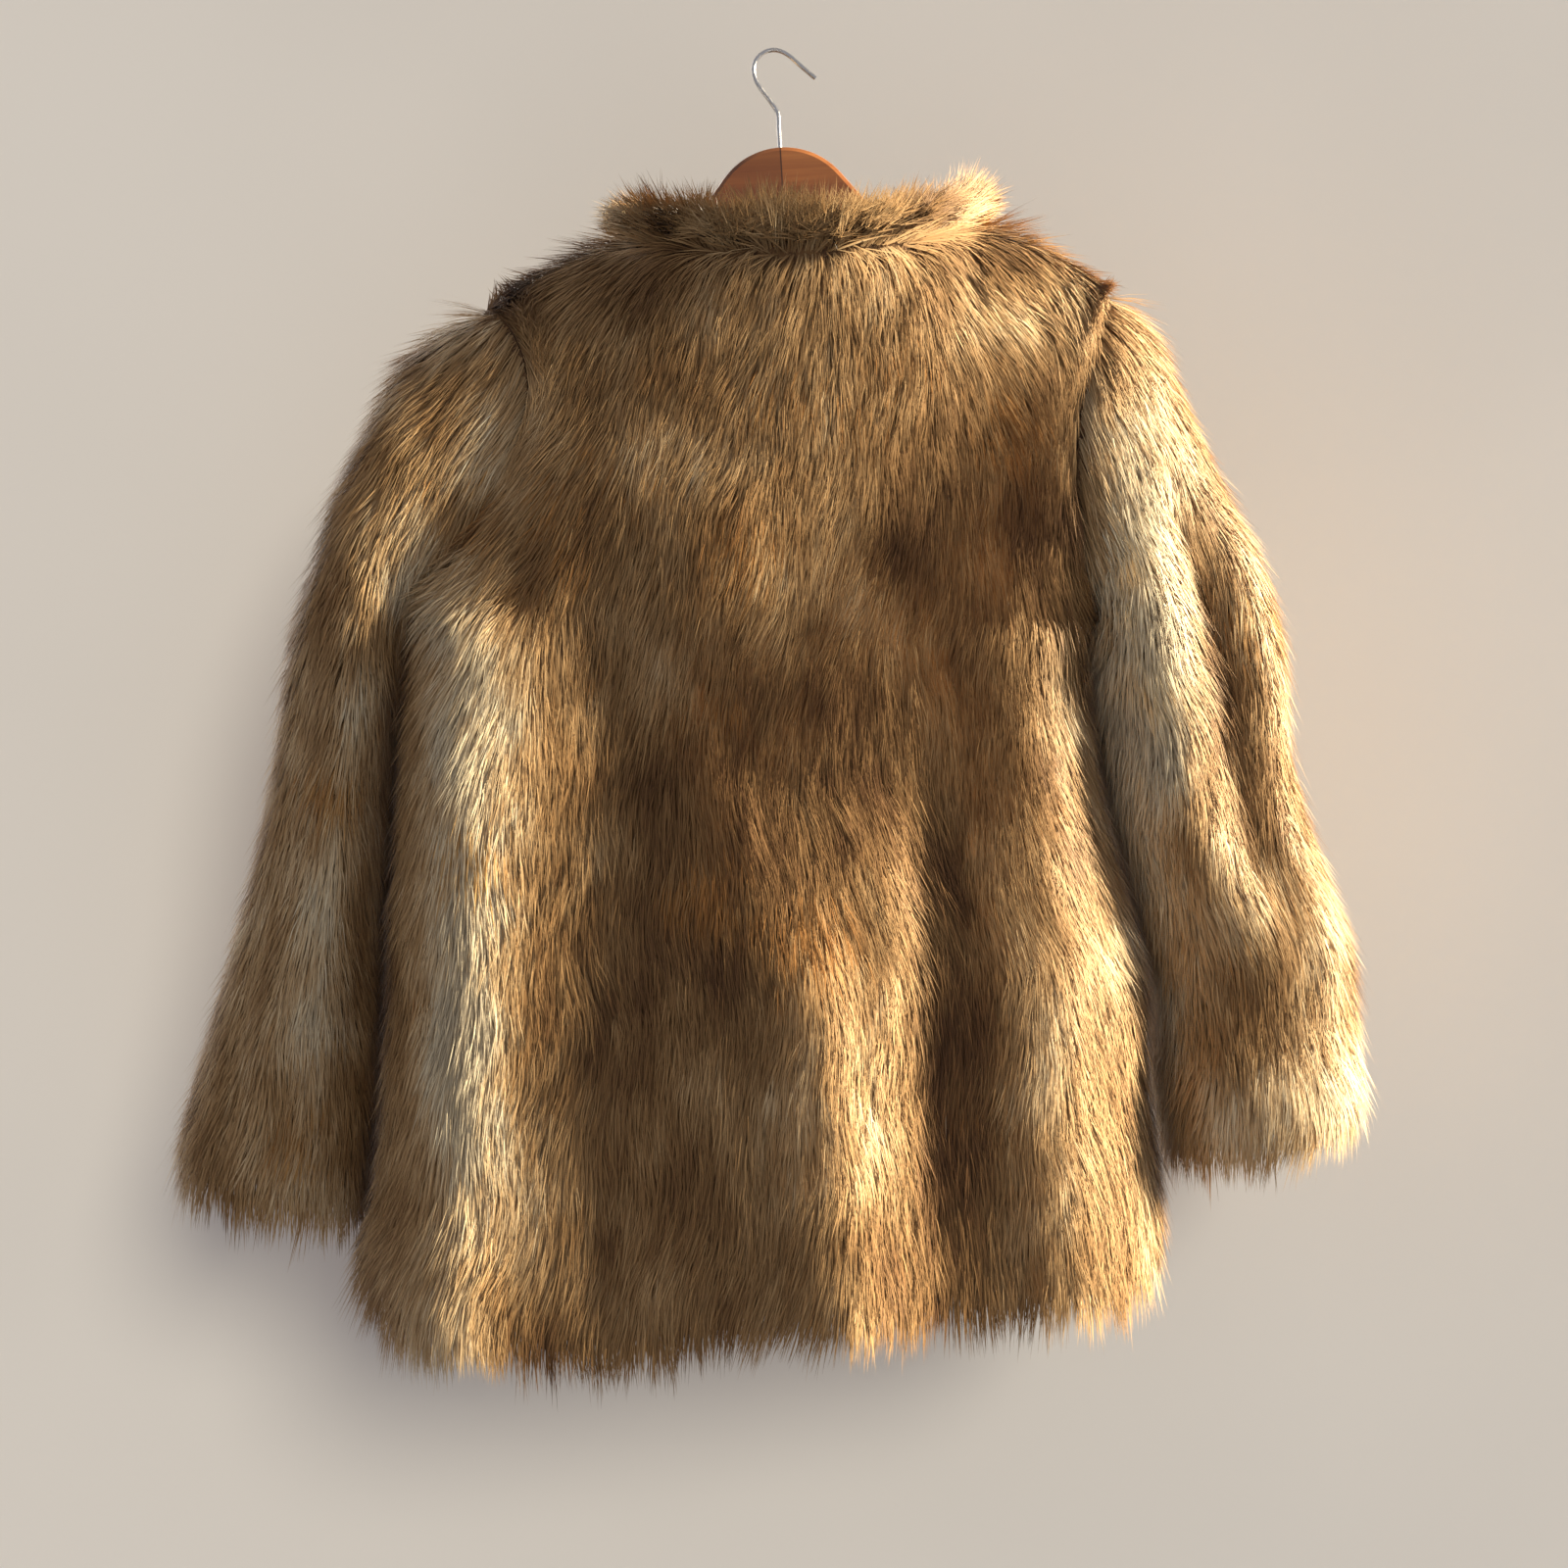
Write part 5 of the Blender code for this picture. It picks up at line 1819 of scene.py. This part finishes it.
    def pile(
        self, tree: bpy.types.NodeTree, finish: bpy.types.Material, seed: int
    ) -> list[bpy.types.Object]:
        """Grows the pile, one object for each stretch.

        Args:
            tree: The tree that sets the strands.
            finish: Their material.
            seed: The first stretch's seed.

        Returns:
            The piles, as plain meshes.
        """
        grown = []
        for number, (first, last, strands) in enumerate(self.stretches):
            base = self.scalp(first, last)
            area = sum(face.area for face in base.data.polygons)
            weights = np.empty(len(base.data.vertices), dtype=np.float32)
            base.data.attributes["thickness"].data.foreach_get("value", weights)
            modifier = base.modifiers.new("Pile", "NODES")
            modifier.node_group = tree
            values = self.style.inputs() | {
                "Strands": strands / (area * float(weights.mean())),
                "Seed": seed + number,
                "Material": finish,
            }
            for item in tree.interface.items_tree:
                if item.in_out == "INPUT" and item.name in values:
                    modifier[item.identifier] = values[item.name]
            suffix = "" if len(self.stretches) == 1 else f"_{number + 1}"
            grown.append(realized(base, f"{self.node}_pile{suffix}"))
        return grown


def realized(base: bpy.types.Object, name: str) -> bpy.types.Object:
    """Turns what an object's modifier makes into a plain mesh, and removes the object.

    Args:
        base: The object with the modifier.
        name: The new object's name.

    Returns:
        A new object with the mesh.
    """
    bpy.context.view_layer.update()
    depsgraph = bpy.context.evaluated_depsgraph_get()
    mesh = bpy.data.meshes.new_from_object(
        base.evaluated_get(depsgraph), preserve_all_data_layers=True, depsgraph=depsgraph
    )
    mesh.name = name
    old = base.data
    bpy.data.objects.remove(base)
    bpy.data.meshes.remove(old)
    for attribute in [a.name for a in mesh.attributes if a.name in SCRATCH]:
        mesh.attributes.remove(mesh.attributes[attribute])
    return new_object(name, mesh)


@dataclass
class Jacket:
    """The jacket: its pieces, their seams and their finishes."""

    left_sleeve: SleeveCut = SleeveCut(LEFT_SLEEVE, LEFT_SLEEVE_FOLDS)
    right_sleeve: SleeveCut = SleeveCut(RIGHT_SLEEVE, RIGHT_SLEEVE_FOLDS)
    seam_gap: float = 0.0003
    ring_gap: float = 0.0006
    front_gap: float = 0.0016
    side_sweep: float = 1.1
    neck_ruffle: float = 55.0
    sleeve_style: PileStyle = PileStyle(width=0.00082)
    front_style: PileStyle = PileStyle(width=0.0010)
    collar_style: PileStyle = PileStyle(
        length=0.026, height=0.009, width=0.0009, sway=60.0, stray=95.0, lift=26.0,
        lock_size=0.015, lock_pull=0.6,
    )
    first_seed: int = 101
    seed_step: int = 10  # from one piece to the next
    pieces: list[ClothPiece] = field(default_factory=list)

    def cut(self) -> None:
        """Cuts the pieces and settles the direction through the cloth at every point."""
        body = BodyCut(self.left_sleeve, self.right_sleeve)
        middle = PANEL_COLUMNS // 2
        half_gap = self.front_gap / 2
        back = ClothPiece(
            node="back", outer=body.grid(Side.BACK), moved=(0.0, -self.seam_gap / 2, 0.0),
            flat=(0.60, 0.70), area=0.36, patches=BACK_PATCHES,
            stretches=((0, middle, 64000), (middle, PANEL_COLUMNS, 64000)),
            side_sweep=self.side_sweep, armhole_columns=(0, -1), ruffled=self.neck_ruffle,
        )
        fronts = body.grid(Side.FRONT)
        panels = (
            ("front_left", fronts[:, : middle + 1], (-1, -half_gap), 0, LEFT_FRONT_PATCHES),
            ("front_right", fronts[:, middle:], (0, half_gap), -1, RIGHT_FRONT_PATCHES),
        )
        front_panels = [
            ClothPiece(
                node=node, outer=outer, faces_out=-1, moved=(0.0, self.seam_gap / 2, 0.0),
                flat=(0.30, 0.68), area=0.17, stretches=((0, middle, 32000),),
                style=self.front_style, patches=patches, edge_gaps=(gap,),
                side_sweep=self.side_sweep, armhole_columns=(armhole,), ruffled=self.neck_ruffle,
            )
            for node, outer, gap, armhole, patches in panels
        ]
        arms = (
            ("sleeve_left", self.left_sleeve, 1, (0.36, 0.57), 0.50, LEFT_SLEEVE_PATCHES),
            ("sleeve_right", self.right_sleeve, -1, (0.38, 0.57), 0.52, RIGHT_SLEEVE_PATCHES),
        )
        sleeves = [
            ClothPiece(
                node=node, outer=sleeve.grid(), closed=True, faces_out=side,
                moved=(-side * self.ring_gap, 0.0, 0.0), comb=Comb.UP_THE_ROWS, flat=flat,
                area=0.18, stretches=((0, 2 * UPPER_ROWS, 52000),), style=self.sleeve_style,
                patches=patches, hang=1.2, shade=shade,
            )
            for node, sleeve, side, flat, shade, patches in arms
        ]
        collar = ClothPiece(
            node="collar", outer=CollarCut(body).grid(), moved=(0.0, 0.0, self.ring_gap),
            comb=Comb.UP_THE_ROWS, flat=(0.53, 0.012), area=0.0063,
            stretches=((0, 2 * NECK_COLUMNS, 13000),), style=self.collar_style,
            edge_gaps=((0, -half_gap), (-1, half_gap)), shade=0.42, ruffled=60.0,
            ruffled_all=True,
        )
        self.pieces = [back, *front_panels, *sleeves, collar]
        self.share_normals()

    def ring_normals(self, ring: np.ndarray, axis: Any) -> np.ndarray:
        """Finds the directions out of a closed ring.

        Args:
            ring: Its points.
            axis: The axis that it goes round.

        Returns:
            A direction for each point, square to the ring and to the axis.
        """
        along = np.roll(ring, -1, axis=0) - np.roll(ring, 1, axis=0)
        normals = unit(np.cross(along, axis))
        return normals * np.sign((normals * (ring - ring.mean(axis=0))).sum())

    def seam_normals(self) -> dict[tuple[float, ...], np.ndarray]:
        """Finds the directions through the cloth at the armholes and the collar.

        Returns:
            A direction for each point, by the point's key.
        """
        by_node = {piece.node: piece.outer for piece in self.pieces}
        found: dict[tuple[float, ...], np.ndarray] = {}
        for node in ("sleeve_left", "sleeve_right"):
            ring = by_node[node][0]
            centred = ring - ring.mean(axis=0)
            axis = np.cross(centred, np.roll(centred, -1, axis=0)).sum(axis=0)
            found.update(zip(map(point_key, ring), self.ring_normals(ring, axis)))
        collar = by_node["collar"]
        level = self.ring_normals(collar[0, :-1], (0, 0, 1))
        for row in collar:
            found.update(zip(map(point_key, row), np.append(level, level[:1], axis=0)))
        return found

    def share_normals(self) -> None:
        """Averages the direction through the cloth over all the pieces that meet at a point."""
        found: dict[tuple[float, ...], np.ndarray] = {}
        for piece in self.pieces:
            points = piece.outer.reshape(-1, 3)
            quads = grid_quads(*piece.outer.shape[:2], piece.closed)
            a, b, c, d = (points[quads[:, corner]] for corner in range(4))
            normals = np.cross(c - a, d - b) * piece.faces_out
            totals = np.zeros_like(points)
            for corner in range(4):
                np.add.at(totals, quads[:, corner], normals)
            for point, total in zip(points, totals):
                key = point_key(point)
                found[key] = found.get(key, 0) + total
        for key, normal in found.items():
            if key[1] == 0:
                normal[1] = 0
        found.update(self.seam_normals())
        for piece in self.pieces:
            points = piece.outer.reshape(-1, 3)
            normals = np.array([found[point_key(point)] for point in points])
            piece.normals = unit(normals).reshape(piece.outer.shape)

    def dress(self, streaks: bpy.types.NodeTree) -> None:
        """Makes every piece's backing and pile, and says what they are.

        Args:
            streaks: The shared node group for uneven streaks.
        """
        tree = bpy.data.node_groups.new("Combed pile", "GeometryNodeTree")
        PileTree(tree).build()
        underfur = UnderfurFinish("underfur", streaks).material()
        knit = BackingFinish("knitted_backing", streaks).material()
        finish = PileFinish("pile", pile_colour_group()).material()
        for number, piece in enumerate(self.pieces):
            cloth = piece.backing(underfur, knit)
            piles = piece.pile(tree, finish, self.first_seed + self.seed_step * number)
            for part in (cloth, *piles):
                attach(part, "root")
            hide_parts(piece.node)
            meshes = [part.data for part in (cloth, *piles)]
            faces = [sum(len(face.vertices) - 2 for face in mesh.polygons) for mesh in meshes]
            sizes = "%s: %.3f x %.3f m, %.4f m2, triangles %s"
            log.info(sizes, piece.node, *piece.measures(), faces)


# ---------------------------------------------------------------------------------------------
# Hanger, studio and camera
# ---------------------------------------------------------------------------------------------


@dataclass(frozen=True)
class Hanger:
    """The wooden hanger and its hook, which keep their solids."""

    tilt: float = math.radians(3.5)  # of the board, about the hook

    def dress(self, streaks: bpy.types.NodeTree) -> None:
        """Gives the board its varnished wood and the hook its chrome.

        Args:
            streaks: The shared node group for uneven streaks.
        """
        finishes = {
            "hanger_body": WoodFinish("varnished_wood", streaks, self.tilt),
            "hanger_hook": ChromeFinish("chrome_wire", streaks),
        }
        for node, finish in finishes.items():
            solid = bpy.data.objects[node]
            material = finish.material()
            if solid.material_slots:
                for slot in solid.material_slots:
                    slot.material = material
            else:
                solid.data.materials.append(material)
            log.info("%s: %s", node, finish.name)


class Sun(NamedTuple):
    """A soft distant light: where it shines from, its strength, colour and width in degrees."""

    towards: Vector3
    power: float
    colour: Colour
    spread: float

    def hang(self, name: str) -> bpy.types.Object:
        """Adds the light.

        Args:
            name: Its name.

        Returns:
            Its object.
        """
        lamp = bpy.data.lights.new(name, "SUN")
        lamp.energy = self.power
        lamp.color = self.colour
        lamp.angle = math.radians(self.spread)
        made = bpy.data.objects.new(name, lamp)
        made.rotation_euler = Vector(self.towards).to_track_quat("Z", "Y").to_euler()
        bpy.context.scene.collection.objects.link(made)
        return made


@dataclass(frozen=True)
class Studio:
    """A pale floor that sweeps up into a wall behind the jacket, with soft light."""

    wall_y: float = 0.20
    floor_z: float = -1.50
    cove: float = 0.45
    cove_steps: int = 12
    half_width: float = 3.2
    front_y: float = -3.4
    wall_top: float = 1.3
    paint: Colour = linear(236, 228, 220)
    key: Sun = Sun((0.925, -0.090, 0.35), 18.0, (1.0, 0.89, 0.69), 9)
    wash: Sun = Sun((0.35, -0.85, 0.38), 1.5, (1.0, 0.97, 0.83), 24)
    front: Sun = Sun((-0.55, 0.75, 0.45), 1.7, (1.0, 0.95, 0.90), 30)
    fill: Colour = (0.80, 0.80, 0.86)
    fill_power: float = 0.42

    def stage(self) -> bpy.types.Object:
        """Makes the floor and the wall.

        Returns:
            Both as one sheet.
        """
        cove_y = self.wall_y - self.cove
        cove_z = self.floor_z + self.cove
        profile = [(self.front_y, self.floor_z), (cove_y, self.floor_z)]
        for angle in np.linspace(-math.pi / 2, 0, self.cove_steps + 1)[1:]:
            y, z = (self.cove * math.cos(angle), self.cove * math.sin(angle))
            profile.append((cove_y + y, cove_z + z))
        profile.append((self.wall_y, self.wall_top))
        points = [(x, y, z) for y, z in profile for x in (-self.half_width, self.half_width)]
        faces = [(n, n + 1, n + 3, n + 2) for n in range(0, len(points) - 2, 2)]
        mesh = new_mesh("studio_sweep", np.array(points), np.array(faces))
        mesh.materials.append(PaintFinish("studio_paint", self.paint).material())
        mesh.shade_smooth()
        sweep = new_object("studio_sweep", mesh)
        sweep.visible_shadow = False
        sweep.visible_diffuse = False
        return sweep

    def keep_to(self, lamp: bpy.types.Object, sweep: bpy.types.Object, state: str) -> None:
        """Makes a light reach only some things.

        Args:
            lamp: The light.
            sweep: The floor and the wall.
            state: INCLUDE for them alone, or EXCLUDE for everything but them.
        """
        reached = bpy.data.collections.new(f"{lamp.name}_reach")
        reached.objects.link(sweep)
        reached.collection_objects[0].light_linking.link_state = state
        lamp.light_linking.receiver_collection = reached

    def light(self, sweep: bpy.types.Object) -> None:
        """Lights the scene: low light along the back, a soft wash on the wall, and a fill.

        Args:
            sweep: The floor and the wall.
        """
        self.keep_to(self.key.hang("key"), sweep, "EXCLUDE")
        self.keep_to(self.wash.hang("wash"), sweep, "INCLUDE")
        self.front.hang("front")
        world = bpy.data.worlds.new("studio")
        world.use_nodes = True
        background = world.node_tree.nodes["Background"]
        background.inputs["Color"].default_value = (*self.fill, 1)
        background.inputs["Strength"].default_value = self.fill_power
        bpy.context.scene.world = world
        bpy.context.scene.view_settings.view_transform = "Standard"


@dataclass(frozen=True)
class Viewpoint:
    """The camera, as in the photograph: level, square on and a little over a metre away."""

    place: Vector3 = (0.006, -1.13, -0.448)
    lens: float = 42.375
    sensor: float = 36.0

    def set_up(self) -> None:
        """Makes the camera and makes it the scene's."""
        camera = bpy.data.cameras.new("camera")
        camera.lens = self.lens
        camera.sensor_width = self.sensor
        made = bpy.data.objects.new("camera", camera)
        made.location = self.place
        made.rotation_euler = (math.pi / 2, 0.0, 0.0)
        bpy.context.scene.collection.objects.link(made)
        bpy.context.scene.camera = made


def write_sizes() -> None:
    """Brings the scene's view layer up to date."""
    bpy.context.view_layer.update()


def main() -> None:
    """Builds everything in order."""
    logging.basicConfig(level=logging.INFO, format="%(message)s")
    Viewpoint().set_up()
    studio = Studio()
    studio.light(studio.stage())
    streaks = streak_group()
    Hanger().dress(streaks)
    jacket = Jacket()
    jacket.cut()
    jacket.dress(streaks)
    write_sizes()


if __name__ == "__main__":
    main()
